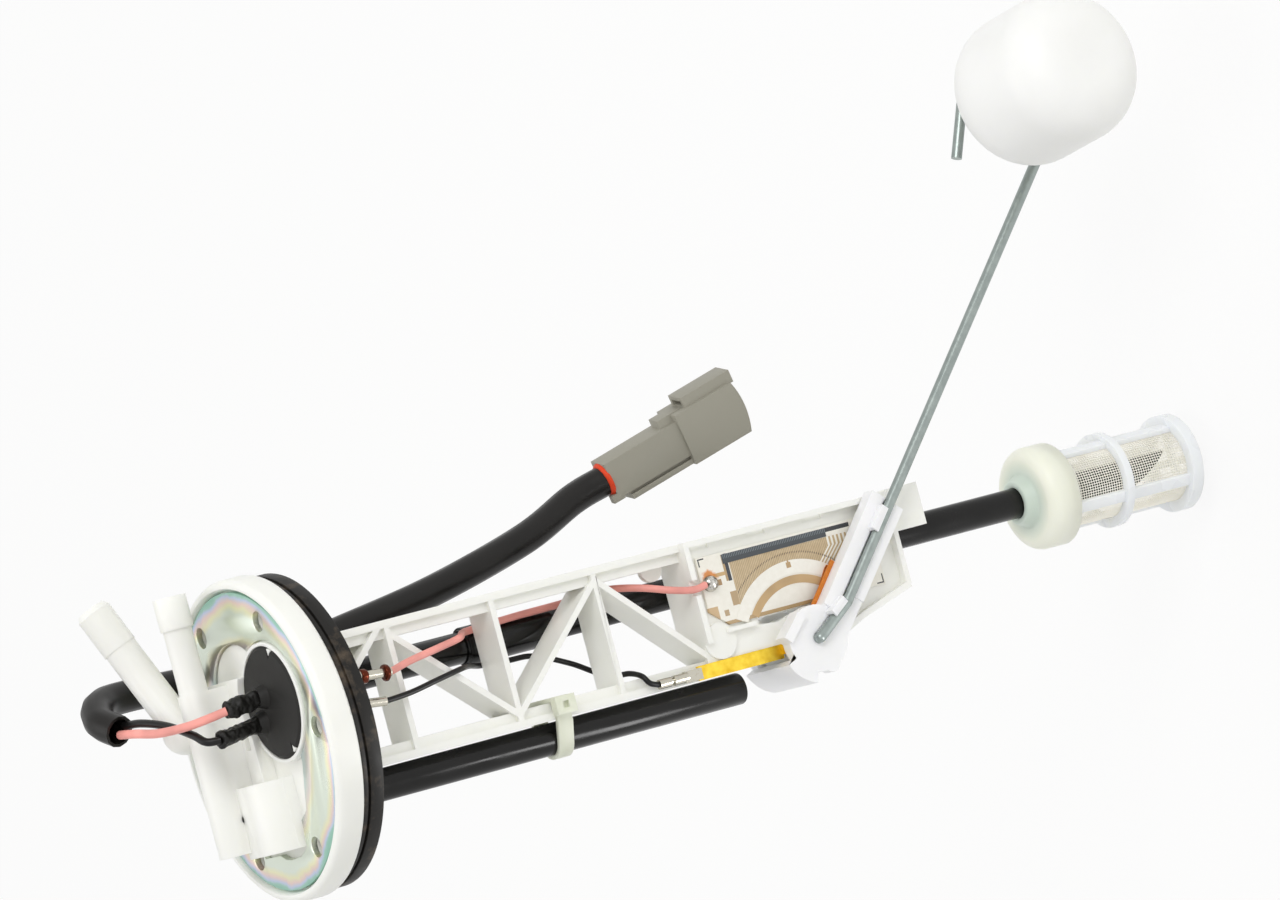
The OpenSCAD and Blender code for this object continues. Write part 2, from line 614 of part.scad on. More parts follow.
module float() {
  color([0.96, 0.97, 0.97])
  arm_frame() difference() {
    union() {
      translate([arm_len - 6, 16.6, 43]) rotate([0, 9.5, 0])
        translate([0, 0, -float_len / 2]) rotate_extrude() intersection() {
          square([float_d, float_len]);
          union() {
            square([float_d / 2 - 15, float_len]);
            translate([0, 15]) square([float_d / 2, float_len - 30]);
            translate([float_d / 2 - 15, 15]) circle(15);
            translate([float_d / 2 - 15, float_len - 15]) circle(15);
          }
        }
      translate([arm_len, 6, wire_plane]) rotate([-90, 0, 0]) cylinder(r = 4.2, h = 19.5);
      translate([arm_len - 12, 7, wire_plane + 1]) cube([13, 17.5, 8]);
    }
    translate([arm_len, 0, wire_plane]) rotate([-90, 0, 0])
      cylinder(r = wire_r + run_gap, h = 40);
  }
}

module pickup_upper_pipe() {
  color([0.08, 0.08, 0.08])
  difference() {
    translate([pick_x, pick_y, -79.5]) cylinder(d = pipe_d, h = 79.4 + z_disc - 2);
    translate([pick_x, pick_y, -81]) cylinder(r = pipe_d / 2 - 1.2, h = 100);
  }
}

module pickup_joiner() {
  color([0.07, 0.07, 0.07])
  difference() {
    union() {
      translate([pick_x, pick_y, -94]) cylinder(d = pipe_d + 2.4, h = 29);
      translate([pick_x, pick_y, -94.6]) cylinder(d = pipe_d + 1.2, h = 30.2);
    }
    translate([pick_x, pick_y, -96]) cylinder(d = pipe_d, h = 40);
  }
}

module pickup_lower_pipe() {
  color([0.08, 0.08, 0.08])
  difference() {
    translate([pick_x, pick_y, 4 - drop]) cylinder(d = pipe_d, h = drop - 83.5);
    translate([pick_x, pick_y, -drop]) cylinder(r = pipe_d / 2 - 1.2, h = drop);
    slab([[pick_x - 8, 24.5 - drop], [pick_x + 8, -1.5 - drop], [pick_x + 8, -20 - drop],
      [pick_x - 8, -20 - drop]], pick_y - 10, pick_y + 10);
  }
}

module return_hose() {
  color([0.08, 0.08, 0.08])
  difference() {
    translate([ret_x, 0, -143]) cylinder(d = hose_d, h = 143 + z_disc - 2);
    translate([ret_x, 0, -150]) cylinder(r = hose_d / 2 - 1.5, h = 170);
  }
}

module tie_outline(g) {
  hull() {
    translate([ret_x, 0]) circle(hose_d / 2 + g);
    translate([rail_bot - g, -d_half - g]) square([rail_w + 2 * g, truss_depth + 2 * g]);
  }
}

module cable_tie() {
  color([0.93, 0.93, 0.86])
  union() {
    translate([0, 0, -81.6]) linear_extrude(height = 5) difference() {
      tie_outline(1.3);
      tie_outline(0);
    }
    translate([rail_bot + 1, -d_half - 4.4, -82.4]) difference() {
      cube([5.4, 3.2, 6.6]);
      translate([1.7, -1, 2.3]) cube([2, 2.4, 2]);
    }
  }
}

module strainer_cup() {
  color([0.9, 0.93, 0.86])
  difference() {
    union() {
      translate([pick_x, pick_y, cup_top - 16]) cylinder(d = cup_d, h = 12);
      translate([pick_x, pick_y, cup_top - 4]) rotate_extrude() intersection() {
        translate([cup_d / 2 - 4, 0]) circle(4);
        square([cup_d, 8]);
      }
      translate([pick_x, pick_y, cup_top - 5]) cylinder(r = cup_d / 2 - 4, h = 5);
      translate([pick_x, pick_y, cup_top - 1]) cylinder(r1 = 9, r2 = 6.6, h = 4.5);
    }
    translate([pick_x, pick_y, cup_top - 20]) cylinder(d = pipe_d, h = 40);
    translate([pick_x, pick_y, cup_top - 17]) cylinder(r = cage_d / 2, h = 12.5);
  }
}

module strainer_cage() {
  color([0.92, 0.95, 0.93])
  difference() {
    union() {
      translate([pick_x, pick_y, cup_top - 4.5 - 3]) difference() {
        cylinder(d = cage_d, h = 3);
        translate([0, 0, -1]) cylinder(r = 11.6, h = 5);
      }
      for (a = [-30, 60, 150, 240])
        translate([pick_x, pick_y, 0.5 - drop]) rotate([0, 0, a - 90]) translate([11.6, -1.75, 0])
          cube([cage_d / 2 - 11.75, 3.5, drop + cup_top - 6]);
      translate([pick_x, pick_y, cup_top - 31.5]) difference() {
        cylinder(r = 14.8, h = 2.6);
        translate([0, 0, -1]) cylinder(r = 12, h = 5);
      }
      translate([pick_x, pick_y, -drop]) difference() {
        cylinder(r = 15.2, h = 4);
        translate([0, 0, 1.4]) cylinder(r = 11.8, h = 5);
        translate([0, 0, -1]) cylinder(r = 9.6, h = 5);
      }
      translate([pick_x - 10, pick_y - 1.2, -drop]) cube([20, 2.4, 1.4]);
      translate([pick_x - 1.2, pick_y - 10, -drop]) cube([2.4, 20, 1.4]);
    }
  }
}

module strainer_mesh() {
  color([0.75, 0.77, 0.72])
  translate([pick_x, pick_y, 1.4 - drop]) difference() {
    cylinder(r = 11.6, h = drop + cup_top - 1.4 - 4.5);
    translate([0, 0, 0.4]) cylinder(r = 11.2, h = drop);
  }
}

// the plug's frame: x along the plug from its rear, z towards its latch
module plug_frame() {
  multmatrix([[plug_u[0], plug_y[0], plug_t[0], plug_0[0]],
    [plug_u[1], plug_y[1], plug_t[1], plug_0[1]],
    [plug_u[2], plug_y[2], plug_t[2], plug_0[2]], [0, 0, 0, 1]])
    rotate([14, 0, 0]) children();
}

module lead_sleeve() {
  color([0.1, 0.1, 0.1])
  cord([[13, 28, boot_top + 27.3], [17, 36, boot_top + 28.6], [21.5, 44, boot_top + 24],
    [22.6, 49, boot_top + 12], [21.6, 51, -4], [22.4, 51, -24], [25.4, 50, -46],
    [30.3, 49, -78], [38.5, 49, -112], plug_0 - 12 * plug_u, plug_0], sleeve_d, 26, 12);
}

module plug_shell() {
  color([0.5, 0.5, 0.46])
  plug_frame() difference() {
    union() {
      translate([0, -4.8, -5.8]) cube([28, 9.6, 11.6]);
      // slide rail along the bottom
      translate([4.5, -3.2, -8.6]) cube([23, 6.4, 3.4]);
      translate([4.5, -4.4, -8.6]) cube([23, 8.8, 1.6]);
      // step in front of the latch
      translate([22, -3, 5]) cube([9, 6, 3.4]);
      // shroud
      intersection() {
        translate([26.7, -6.3, -8.7]) cube([plug_len - 26.7, 12.6, 16.8]);
        translate([plug_len - 26, 20, 0]) rotate([90, 0, 0]) cylinder(r = 26, h = 40);
      }
      // latch housing
      translate([31.5, -4.4, 7.4]) cube([plug_len - 31, 8.8, 4]);
      // rear ears
      translate([-3, 2.6, -5]) cube([3.4, 2.2, 3]);
      translate([-2, -4.8, -6.6]) cube([4, 2.4, 2.4]);
    }
    // mouth
    translate([plug_len - 18, -5, -7.4]) cube([30, 10, 13.8]);
    // latch slot
    translate([30, -3.1, 8.3]) cube([plug_len, 6.2, 1.8]);
    // rear bore of the seal
    translate([-4, 0, 0]) rotate([0, 90, 0]) cylinder(r = 4.3, h = 12);
  }
}

module plug_seal() {
  color([0.85, 0.3, 0.12])
  plug_frame() rotate([0, 90, 0]) cylinder(r = 4.3, h = 7.9);
}

module plug_wedge() {
  color([0.85, 0.45, 0.15])
  plug_frame() union() {
    translate([plug_len - 18, -3.4, -3.2]) cube([9, 6.8, 6.4]);
    translate([plug_len - 10, -1.2, -3.2]) cube([6, 2.4, 6.4]);
  }
}

module plug_pins() {
  color([0.78, 0.75, 0.66])
  plug_frame() for (z = [-4.8, 4.8])
    translate([plug_len - 18.4, 0, z]) rotate([0, 90, 0]) union() {
      cylinder(r = 0.75, h = 12);
      translate([0, 0, 12]) sphere(r = 0.75);
    }
}

flange_moulding();
steel_ring();
gasket();
terminal_boot();
signal_post();
ground_post();
pink_sleeve();
black_sleeve();
signal_terminal();
ground_terminal();
wire_pink_out();
wire_black_out();
wire_pink_in();
wire_black_in();
truss_arm();
resistor_card();
resistor_film();
contact_comb();
contact_arc();
solder_joint();
ground_strip();
strip_terminal();
arm_carrier();
wiper_contact();
float_wire();
shaft_clip();
float();
pickup_upper_pipe();
pickup_joiner();
pickup_lower_pipe();
return_hose();
cable_tie();
strainer_cup();
strainer_cage();
strainer_mesh();
lead_sleeve();
plug_shell();
plug_seal();
plug_wedge();
plug_pins();
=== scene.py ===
import json
import math

import bpy
from mathutils import Matrix, Vector


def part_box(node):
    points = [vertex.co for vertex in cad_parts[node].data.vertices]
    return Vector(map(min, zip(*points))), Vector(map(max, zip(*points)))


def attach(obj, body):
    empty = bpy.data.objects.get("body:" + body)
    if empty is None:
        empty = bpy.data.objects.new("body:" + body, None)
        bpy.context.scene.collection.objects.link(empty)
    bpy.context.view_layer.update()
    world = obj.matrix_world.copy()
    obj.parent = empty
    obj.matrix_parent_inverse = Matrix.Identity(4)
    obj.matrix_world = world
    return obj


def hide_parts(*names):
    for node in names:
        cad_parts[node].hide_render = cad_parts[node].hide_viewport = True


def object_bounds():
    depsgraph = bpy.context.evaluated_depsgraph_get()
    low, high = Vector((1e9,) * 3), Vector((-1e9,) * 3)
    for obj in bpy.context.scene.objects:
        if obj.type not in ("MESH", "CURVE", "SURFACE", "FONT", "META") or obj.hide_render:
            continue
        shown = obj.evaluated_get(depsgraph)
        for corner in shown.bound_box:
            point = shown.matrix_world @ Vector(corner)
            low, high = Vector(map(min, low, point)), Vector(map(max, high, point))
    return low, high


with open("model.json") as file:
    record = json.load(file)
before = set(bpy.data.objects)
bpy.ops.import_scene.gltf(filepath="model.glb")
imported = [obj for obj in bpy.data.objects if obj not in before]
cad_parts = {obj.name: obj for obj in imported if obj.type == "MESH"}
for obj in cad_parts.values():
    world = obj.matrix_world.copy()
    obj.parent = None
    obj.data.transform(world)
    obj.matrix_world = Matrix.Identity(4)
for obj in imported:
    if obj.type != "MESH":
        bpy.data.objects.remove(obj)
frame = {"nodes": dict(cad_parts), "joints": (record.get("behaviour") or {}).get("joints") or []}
cad_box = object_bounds()

# Camera and studio
# The unit is seen from its card side, from 30 degrees over the flange's plane, through a long
# lens at 2 m. The camera is rolled so that the arm runs to the right, as in the photograph.
mm = 0.001
sensor_mm, lens_px, photo_px = 36.0, 7000.0, 1280.0
camera_data = bpy.data.cameras.new("Camera")
camera_data.sensor_width = sensor_mm
camera_data.lens = lens_px / photo_px * sensor_mm
camera_data.clip_end = 20.0
camera = bpy.data.objects.new("Camera", camera_data)
bpy.context.scene.collection.objects.link(camera)
camera.matrix_world = Matrix((
    (-0.255286, 0.966505, -0.026400, 0.0),
    (-0.472057, -0.148422, -0.868984, -1.797588),
    (-0.843796, -0.209377, 0.494136, 0.891242),
    (0.0, 0.0, 0.0, 1.0)))
bpy.context.scene.camera = camera


def linear(code):
    """An sRGB hex colour as linear RGBA."""
    parts = [int(code[i:i + 2], 16) / 255 for i in (1, 3, 5)]
    return tuple(p / 12.92 if p <= 0.04045 else ((p + 0.055) / 1.055) ** 2.4
                 for p in parts) + (1.0,)


def add(owner, kind, settings=None, links=None):
    """Adds a shader node to a material or world, with its settings and what is linked to it."""
    made = owner.node_tree.nodes.new(kind)
    for key, value in (settings or {}).items():
        if isinstance(key, int) or key in made.inputs:
            made.inputs[key].default_value = value
        else:
            setattr(made, key, value)
    for key, (source, out) in (links or {}).items():
        owner.node_tree.links.new(source.outputs[out], made.inputs[key])
    return made


def new_material(name):
    """A material with no nodes yet."""
    material = bpy.data.materials.new(name)
    material.use_nodes = True
    material.node_tree.nodes.clear()
    return material


# The world is white to the camera. It lights plainly, and a little more in gloss.
plain_level, gloss_extra = 0.66, 0.16
world = bpy.data.worlds.new("Studio")
bpy.context.scene.world = world
world.use_nodes = True
world.node_tree.nodes.clear()
rays = add(world, "ShaderNodeLightPath")
seen = add(world, "ShaderNodeMath", {"operation": "MAXIMUM"},
           {0: (rays, "Is Camera Ray"), 1: (rays, "Is Transmission Ray")})
level = add(world, "ShaderNodeMapRange", {"To Min": plain_level, "To Max": 1.0},
            {"Value": (seen, 0)})
gloss = add(world, "ShaderNodeMath", {"operation": "MULTIPLY_ADD", 1: gloss_extra},
            {0: (rays, "Is Glossy Ray"), 2: (level, 0)})
sky = add(world, "ShaderNodeBackground", {"Color": (1, 1, 1, 1)}, {"Strength": (gloss, 0)})
add(world, "ShaderNodeOutputWorld", links={"Surface": (sky, 0)})

unit_middle = Vector((0.02, 0, -0.14))
for name, place, size, power in [("Key", (1.1, -1.3, 0.9), 0.9, 11.8),
                                 ("Fill", (-0.7, -1.5, 0.6), 1.2, 1.9),
                                 ("Top", (0.2, 0.4, 1.4), 1.0, 4.6)]:
    lamp = bpy.data.lights.new(name, "AREA")
    lamp.size = size
    lamp.energy = power
    light = bpy.data.objects.new(name, lamp)
    bpy.context.scene.collection.objects.link(light)
    light.location = place
    light.rotation_euler = (unit_middle - Vector(place)).to_track_quat("-Z", "Y").to_euler()

# A long strip that lies in front shows only in glossy surfaces, as the line along the hoses.
floor_z = cad_box[0][2] - 7 * mm
lamp = bpy.data.lights.new("Strip", "AREA")
lamp.shape = "RECTANGLE"
lamp.size = 0.12
lamp.size_y = 0.6
lamp.energy = 2.1
strip = bpy.data.objects.new("Strip", lamp)
bpy.context.scene.collection.objects.link(strip)
strip.location = (-0.22, -0.46, floor_z + 3 * mm)
strip.rotation_euler = (math.pi, 0, 0)
strip.visible_camera = False
strip.visible_diffuse = False

# Floor: a wide pale sheet under the strainer. It shows nearly white to the camera and to gloss.
floor_glow = 0.86
bpy.ops.mesh.primitive_plane_add(size=8.0, location=(0, 0, floor_z))
floor = bpy.context.object
floor.name = "Floor"
paper = new_material("White paper floor")
rays = add(paper, "ShaderNodeLightPath")
direct = add(paper, "ShaderNodeMath", {"operation": "MAXIMUM"},
             {0: (rays, "Is Camera Ray"), 1: (rays, "Is Glossy Ray")})
share = add(paper, "ShaderNodeMath", {"operation": "MULTIPLY", 1: floor_glow}, {0: (direct, 0)})
matt = add(paper, "ShaderNodeBsdfDiffuse", {"Color": linear("#f4f4f2")})
glow = add(paper, "ShaderNodeEmission", {"Color": (1, 1, 1, 1), "Strength": 1.0})
both = add(paper, "ShaderNodeMixShader", links={0: (share, 0), 1: (matt, 0), 2: (glow, 0)})
add(paper, "ShaderNodeOutputMaterial", links={"Surface": (both, 0)})
floor.data.materials.append(paper)

# Lead sleeve
# Soft vinyl tube of 9.5 mm over the two wires of the lead. It leaves the plug's seal, runs up
# beside the arm and turns over the flange's edge to its open end.


def select_only(piece):
    """Selects one piece and makes it the active one."""
    bpy.ops.object.select_all(action="DESELECT")
    piece.select_set(True)
    bpy.context.view_layer.objects.active = piece


def finish_with(piece, kind, settings):
    """Adds a modifier with its settings to the active piece and applies it."""
    made = piece.modifiers.new(kind, kind)
    for key, value in settings.items():
        setattr(made, key, value)
    bpy.ops.object.modifier_apply(modifier=made.name)


def route(points, count):
    """A smooth line through the points, in metres, with count points a step."""
    pts = [Vector(p) * mm for p in points]
    pts = [2 * pts[0] - pts[1]] + pts + [2 * pts[-1] - pts[-2]]
    line = []
    for i in range(1, len(pts) - 2):
        a, b, c, d = pts[i - 1:i + 3]
        for k in range(count):
            u = k / count
            line.append(0.5 * (2 * b + (c - a) * u + (2 * a - 5 * b + 4 * c - d) * u ** 2
                               + (3 * b - a - 3 * c + d) * u ** 3))
    return line + [pts[-2]]


def cord_curve(name, line, diameter):
    """A round cord as a curve of one open spline."""
    data = bpy.data.curves.new(name, "CURVE")
    data.dimensions = "3D"
    data.bevel_depth = diameter / 2
    data.bevel_resolution = 4
    data.use_fill_caps = True
    spline = data.splines.new("POLY")
    spline.points.add(len(line) - 1)
    for point, place in zip(spline.points, line):
        point.co = (*place, 1.0)
    spline.use_smooth = True
    piece = bpy.data.objects.new(name, data)
    bpy.context.scene.collection.objects.link(piece)
    return piece


plug_rear = Vector((49.8, 48, -143.8))
plug_axis = Vector((13.4, -8, -47)).normalized()
boot_top = 15.5
sleeve_line = route([(13, 28, boot_top + 27.3), (17, 36, boot_top + 28.6),
                     (21.5, 44, boot_top + 24), (22.6, 49, boot_top + 12), (21.6, 51, -4),
                     (22.4, 51, -24), (25.4, 50, -46), (30.3, 49, -78), (38.5, 49, -112),
                     plug_rear - 12 * plug_axis, plug_rear], 12)
sleeve_d, sleeve_wall = 9.5 * mm, 0.9 * mm
tube = cord_curve("lead_tube", sleeve_line, sleeve_d)
tube.data.use_fill_caps = False
select_only(tube)
bpy.ops.object.convert(target="MESH")
sleeve = bpy.context.object
finish_with(sleeve, "SOLIDIFY", {"thickness": sleeve_wall, "offset": -1.0})
bpy.ops.object.shade_smooth_by_angle(angle=math.radians(40))


def sheath(name, colour, roughness, grain, depth):
    """Extruded or dipped flexible skin: even colour, a soft grain and slow dents."""
    material = new_material(name)
    place = add(material, "ShaderNodeTexCoord")
    fine = add(material, "ShaderNodeTexNoise", {"Scale": 1 / (grain * mm), "Detail": 4.0},
               {"Vector": (place, "Object")})
    slow = add(material, "ShaderNodeTexNoise", {"Scale": 90.0, "Detail": 2.0},
               {"Vector": (place, "Object")})
    rough = add(material, "ShaderNodeMapRange",
                {"From Min": 0.3, "From Max": 0.7, "To Min": roughness - 0.06,
                 "To Max": roughness + 0.1}, {"Value": (slow, "Fac")})
    shade = add(material, "ShaderNodeMapRange",
                {"From Min": 0.3, "From Max": 0.7, "To Min": 0.8, "To Max": 1.15},
                {"Value": (slow, "Fac")})
    tone = add(material, "ShaderNodeVectorMath", {"operation": "SCALE", 0: linear(colour)[:3]},
               {"Scale": (shade, 0)})
    bump = add(material, "ShaderNodeBump", {"Strength": 0.4, "Distance": depth * mm},
               {"Height": (fine, "Fac")})
    skin = add(material, "ShaderNodeBsdfPrincipled", {"IOR": 1.5, "Specular IOR Level": 0.3},
               {"Base Color": (tone, 0), "Roughness": (rough, 0), "Normal": (bump, 0)})
    add(material, "ShaderNodeOutputMaterial", links={"Surface": (skin, 0)})
    return material


# black vinyl: nearly black with a brown cast, smooth enough for a long soft highlight
sleeve.data.materials.append(sheath("Black vinyl tube", "#191715", 0.36, 0.5, 0.03))
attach(sleeve, "unit")
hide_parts("lead_sleeve")

# Wires
# Four stranded wires with extruded insulation. Two run from the heat-shrink sleeves over the
# barbs into the open tube; two run inside the tank, from the crimps under the flange to the
# card's solder joint and to the brass strip.
post_1, post_2 = -66.0, -101.0
pink = sheath("Pink wire insulation", "#f4a399", 0.42, 0.35, 0.02)
black = sheath("Black wire insulation", "#100f0f", 0.3, 0.35, 0.02)
wire_rows = [
    ("signal_lead", "wire_pink_out", pink, "pink_insulation", 2.6,
     [(10.7, -13.7, boot_top + 12.8), (9.8, -10.6, boot_top + 18.6), (9.3, -4, boot_top + 22),
      (9.6, 8, boot_top + 25), (11.2, 19, boot_top + 27), (12, 27.4, boot_top + 27.6)]),
    ("ground_lead", "wire_black_out", black, "black_insulation", 2.4,
     [(3.2, -11.1, boot_top + 15.6), (3.7, -9, boot_top + 19.2), (6.6, -4, boot_top + 20.4),
      (10.9, 8, boot_top + 21.6), (13.6, 19, boot_top + 24), (14.2, 27.4, boot_top + 25.6)]),
    ("signal_wire", "wire_pink_in", pink, "pink_insulation", 2.2,
     [(9.8, -14, -25), (11.4, -11.8, -33), (12.8, -9.8, -43), (14.2, -4.5, -54),
      (15.4, 5, -60.5), (15.8, 9.3, post_1), (16.4, 10.3, post_1 - 16), (16.6, 10, post_2 + 3),
      (17.2, 8.8, post_2 - 4.5), (17, 4, post_2 - 10.5), (15, -2.5, post_2 - 17),
      (12, -8, post_2 - 24), (10.6, -9.6, post_2 - 30), (11.1, -9.4, post_2 - 34.4)]),
    ("ground_wire", "wire_black_in", black, "black_insulation", 1.7,
     [(2, -10.4, -23), (2.6, -9.6, -32), (4.2, -9, -42), (5.4, -6.9, -50.5),
      (5.7, 2, post_1 + 7.5), (5, 8.8, post_1 + 0.5), (4.4, 9.6, post_1 - 9.5),
      (3.7, 9.6, post_1 - 18), (-1, 9.6, post_2 + 6), (-5.4, 8.8, post_2 - 1),
      (-7.9, 5, post_2 - 4.5), (-8.4, -2, post_2 - 6), (-10, -7.4, post_2 - 6.8),
      (-12.6, -9, post_2 - 8), (-13.75, -8.6, post_2 - 11)]),
]
for name, node, material, slot, width, points in wire_rows:
    line = route(points, 10)
    wire = cord_curve(name, line, width * mm)
    wire.data.materials.append(material)
    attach(wire, "unit")
    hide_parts(node)

# Flange
# Injection-moulded natural acetal: the round flange with both hose barbs, the valve housing
# and the boss for the terminals in one piece. The skin is milky, with a faint green cast,
# a fine spark-eroded grain and edges rounded by the mould.


def moulded(name, colour, roughness, milky, depth=0.012, grain=0.45):
    """Moulded natural plastic: light sinks a little way in, and the skin has a fine grain."""
    material = new_material(name)
    place = add(material, "ShaderNodeTexCoord")
    fine = add(material, "ShaderNodeTexNoise", {"Scale": 1 / (grain * mm), "Detail": 3.0},
               {"Vector": (place, "Object")})
    flow = add(material, "ShaderNodeTexNoise", {"Scale": 45.0, "Detail": 3.0},
               {"Vector": (place, "Object")})
    rough = add(material, "ShaderNodeMapRange",
                {"From Min": 0.3, "From Max": 0.7, "To Min": roughness - 0.08,
                 "To Max": roughness + 0.08}, {"Value": (flow, "Fac")})
    shade = add(material, "ShaderNodeMapRange",
                {"From Min": 0.25, "From Max": 0.75, "To Min": 0.95, "To Max": 1.0},
                {"Value": (flow, "Fac")})
    tone = add(material, "ShaderNodeVectorMath", {"operation": "SCALE", 0: linear(colour)[:3]},
               {"Scale": (shade, 0)})
    bump = add(material, "ShaderNodeBump", {"Strength": 0.35, "Distance": depth * mm},
               {"Height": (fine, "Fac")})
    skin = add(material, "ShaderNodeBsdfPrincipled",
               {"IOR": 1.48, "Subsurface Weight": milky, "Subsurface Radius": (1.0, 1.0, 0.9),
                "Subsurface Scale": 2.0 * mm},
               {"Base Color": (tone, 0), "Roughness": (rough, 0), "Normal": (bump, 0)})
    add(material, "ShaderNodeOutputMaterial", links={"Surface": (skin, 0)})
    return material


def finished_copy(node, edge_mm, body, material):
    """A copy of a CAD node with its sharp edges rounded as the mould or tool leaves them."""
    piece = bpy.data.objects.new(node + "_finished", frame["nodes"][node].data.copy())
    bpy.context.scene.collection.objects.link(piece)
    select_only(piece)
    bpy.ops.mesh.customdata_custom_splitnormals_clear()
    bpy.ops.object.mode_set(mode="EDIT")
    bpy.ops.mesh.select_all(action="SELECT")
    bpy.ops.mesh.remove_doubles(threshold=2e-6)
    bpy.ops.mesh.dissolve_limited(angle_limit=math.radians(0.6))
    bpy.ops.object.mode_set(mode="OBJECT")
    sharp = math.radians(38)
    finish_with(piece, "BEVEL", {"width": edge_mm * mm, "segments": 2, "limit_method": "ANGLE",
                                 "angle_limit": sharp, "use_clamp_overlap": True})
    bpy.ops.object.shade_smooth_by_angle(angle=sharp)
    piece.data.materials.clear()
    piece.data.materials.append(material)
    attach(piece, body)
    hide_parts(node)
    return piece


def finish_node(node, material):
    """Gives a CAD node that stays its own finish."""
    mesh = frame["nodes"][node].data
    mesh.materials.clear()
    mesh.materials.append(material)


acetal = moulded("Natural acetal moulding", "#f8f8f2", 0.4, 0.4)
finished_copy("flange_moulding", 0.45, "unit", acetal)

# Clamp ring
# Punched 2 mm steel that the six screws press on. It is zinc plated and passivated: a bright
# pale metal with slow patches of yellow, pink and blue. Its colour turns a darker green towards
# the outer edge.
window_r, ring_r = 30.0 * mm, 47.6 * mm
passivated = new_material("Zinc plate with passivation")
place = add(passivated, "ShaderNodeTexCoord")
flat = add(passivated, "ShaderNodeMapping", {"Scale": (1.0, 1.0, 0.0)},
           {"Vector": (place, "Object")})
away = add(passivated, "ShaderNodeVectorMath", {"operation": "LENGTH"}, {0: (flat, 0)})
patches = add(passivated, "ShaderNodeTexNoise",
              {"Scale": 48.0, "Detail": 4.0, "Distortion": 0.8}, {"Vector": (place, "Object")})
wander = add(passivated, "ShaderNodeMath", {"operation": "MULTIPLY_ADD", 1: 7.0 * mm},
             {0: (patches, "Fac"), 2: (away, "Value")})
# across the ring's width the colour is palest in the middle, with bands of pink and yellow to
# each side; towards the outer edge it turns blue and then a darker green
across = add(passivated, "ShaderNodeMapRange",
             {"From Min": window_r, "From Max": ring_r}, {"Value": (wander, 0)})
film = add(passivated, "ShaderNodeValToRGB", links={"Fac": (across, 0)})
film.color_ramp.elements[0].position = 0.0
film.color_ramp.elements[0].color = linear("#cfdcda")
film.color_ramp.elements[1].position = 1.0
film.color_ramp.elements[1].color = linear("#9ccab8")
for spot, colour in [(0.14, "#e6dcd6"), (0.22, "#eceacb"), (0.34, "#e3ebdc"), (0.66, "#e2eadd"),
                     (0.76, "#eeebc6"), (0.84, "#ecd5cf"), (0.9, "#c9d3ea"), (0.95, "#a6cfc0")]:
    film.color_ramp.elements.new(spot).color = linear(colour)
brushed = add(passivated, "ShaderNodeTexNoise", {"Scale": 1 / (0.6 * mm), "Detail": 4.0},
              {"Vector": (place, "Object")})
rough = add(passivated, "ShaderNodeMapRange", {"To Min": 0.2, "To Max": 0.4},
            {"Value": (patches, "Fac")})
bump = add(passivated, "ShaderNodeBump", {"Strength": 0.25, "Distance": 0.02 * mm},
           {"Height": (brushed, "Fac")})
metal = add(passivated, "ShaderNodeBsdfPrincipled", {"Metallic": 1.0},
            {"Base Color": (film, "Color"), "Roughness": (rough, 0), "Normal": (bump, 0)})
add(passivated, "ShaderNodeOutputMaterial", links={"Surface": (metal, 0)})
finished_copy("steel_ring", 0.3, "unit", passivated)

# Gasket
# Moulded nitrile rubber under the flange, with a step round its edge: dull black, with a
# brown cast and rubbed, dusty patches.


def shader_of(material):
    """The material's principled shader."""
    return next(n for n in material.node_tree.nodes if n.type == "BSDF_PRINCIPLED")


nitrile = sheath("Moulded nitrile rubber", "#171512", 0.5, 0.8, 0.05)
skin = shader_of(nitrile)
rubber_tone = skin.inputs["Base Color"].links[0].from_node
place = add(nitrile, "ShaderNodeTexCoord")
cloud = add(nitrile, "ShaderNodeTexNoise", {"Scale": 130.0, "Detail": 6.0, "Roughness": 0.65},
            {"Vector": (place, "Object")})
dust = add(nitrile, "ShaderNodeMapRange", {"From Min": 0.52, "From Max": 0.72, "To Max": 0.3},
           {"Value": (cloud, "Fac")})
dusty = add(nitrile, "ShaderNodeMix", {"data_type": "RGBA", 7: linear("#8f7c66")},
            {0: (dust, 0), 6: (rubber_tone, 0)})
nitrile.node_tree.links.new(dusty.outputs[2], skin.inputs["Base Color"])
finished_copy("gasket", 0.35, "unit", nitrile)

# Terminal boot
# Round rubber boot over the two terminals, set in the flange's boss. It has a collar for each
# wire and two V notches at its rim.
boot_rubber = sheath("Terminal boot rubber", "#242321", 0.6, 0.7, 0.06)
finished_copy("terminal_boot", 0.3, "unit", boot_rubber)

# Two small keys of the flange stand in the boot's notches, and keep it from turning.
boot_middle = Vector((9.7, -16, 0)) * mm
notch = Vector((15.5, 0.1, 0)) * mm
key_r, key_tall = 1.25 * mm, 2.6 * mm
key_z = boot_top * mm - 1.45 * mm
for number, turn in enumerate((-24, 205)):
    spot = boot_middle + Matrix.Rotation(math.radians(turn), 3, "Z") @ notch
    bpy.ops.object.select_all(action="DESELECT")
    bpy.ops.mesh.primitive_cylinder_add(
        vertices=3, radius=key_r, depth=key_tall, location=(spot.x, spot.y, key_z),
        rotation=(0, 0, math.radians(turn + 90)))
    bpy.ops.object.transform_apply(location=True, rotation=True, scale=True)
    key = bpy.context.object
    key.name = "boot_key_%d" % (number + 1)
    finish_with(key, "BEVEL", {"width": 0.15 * mm, "segments": 2})
    key.data.materials.append(acetal)
    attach(key, "unit")

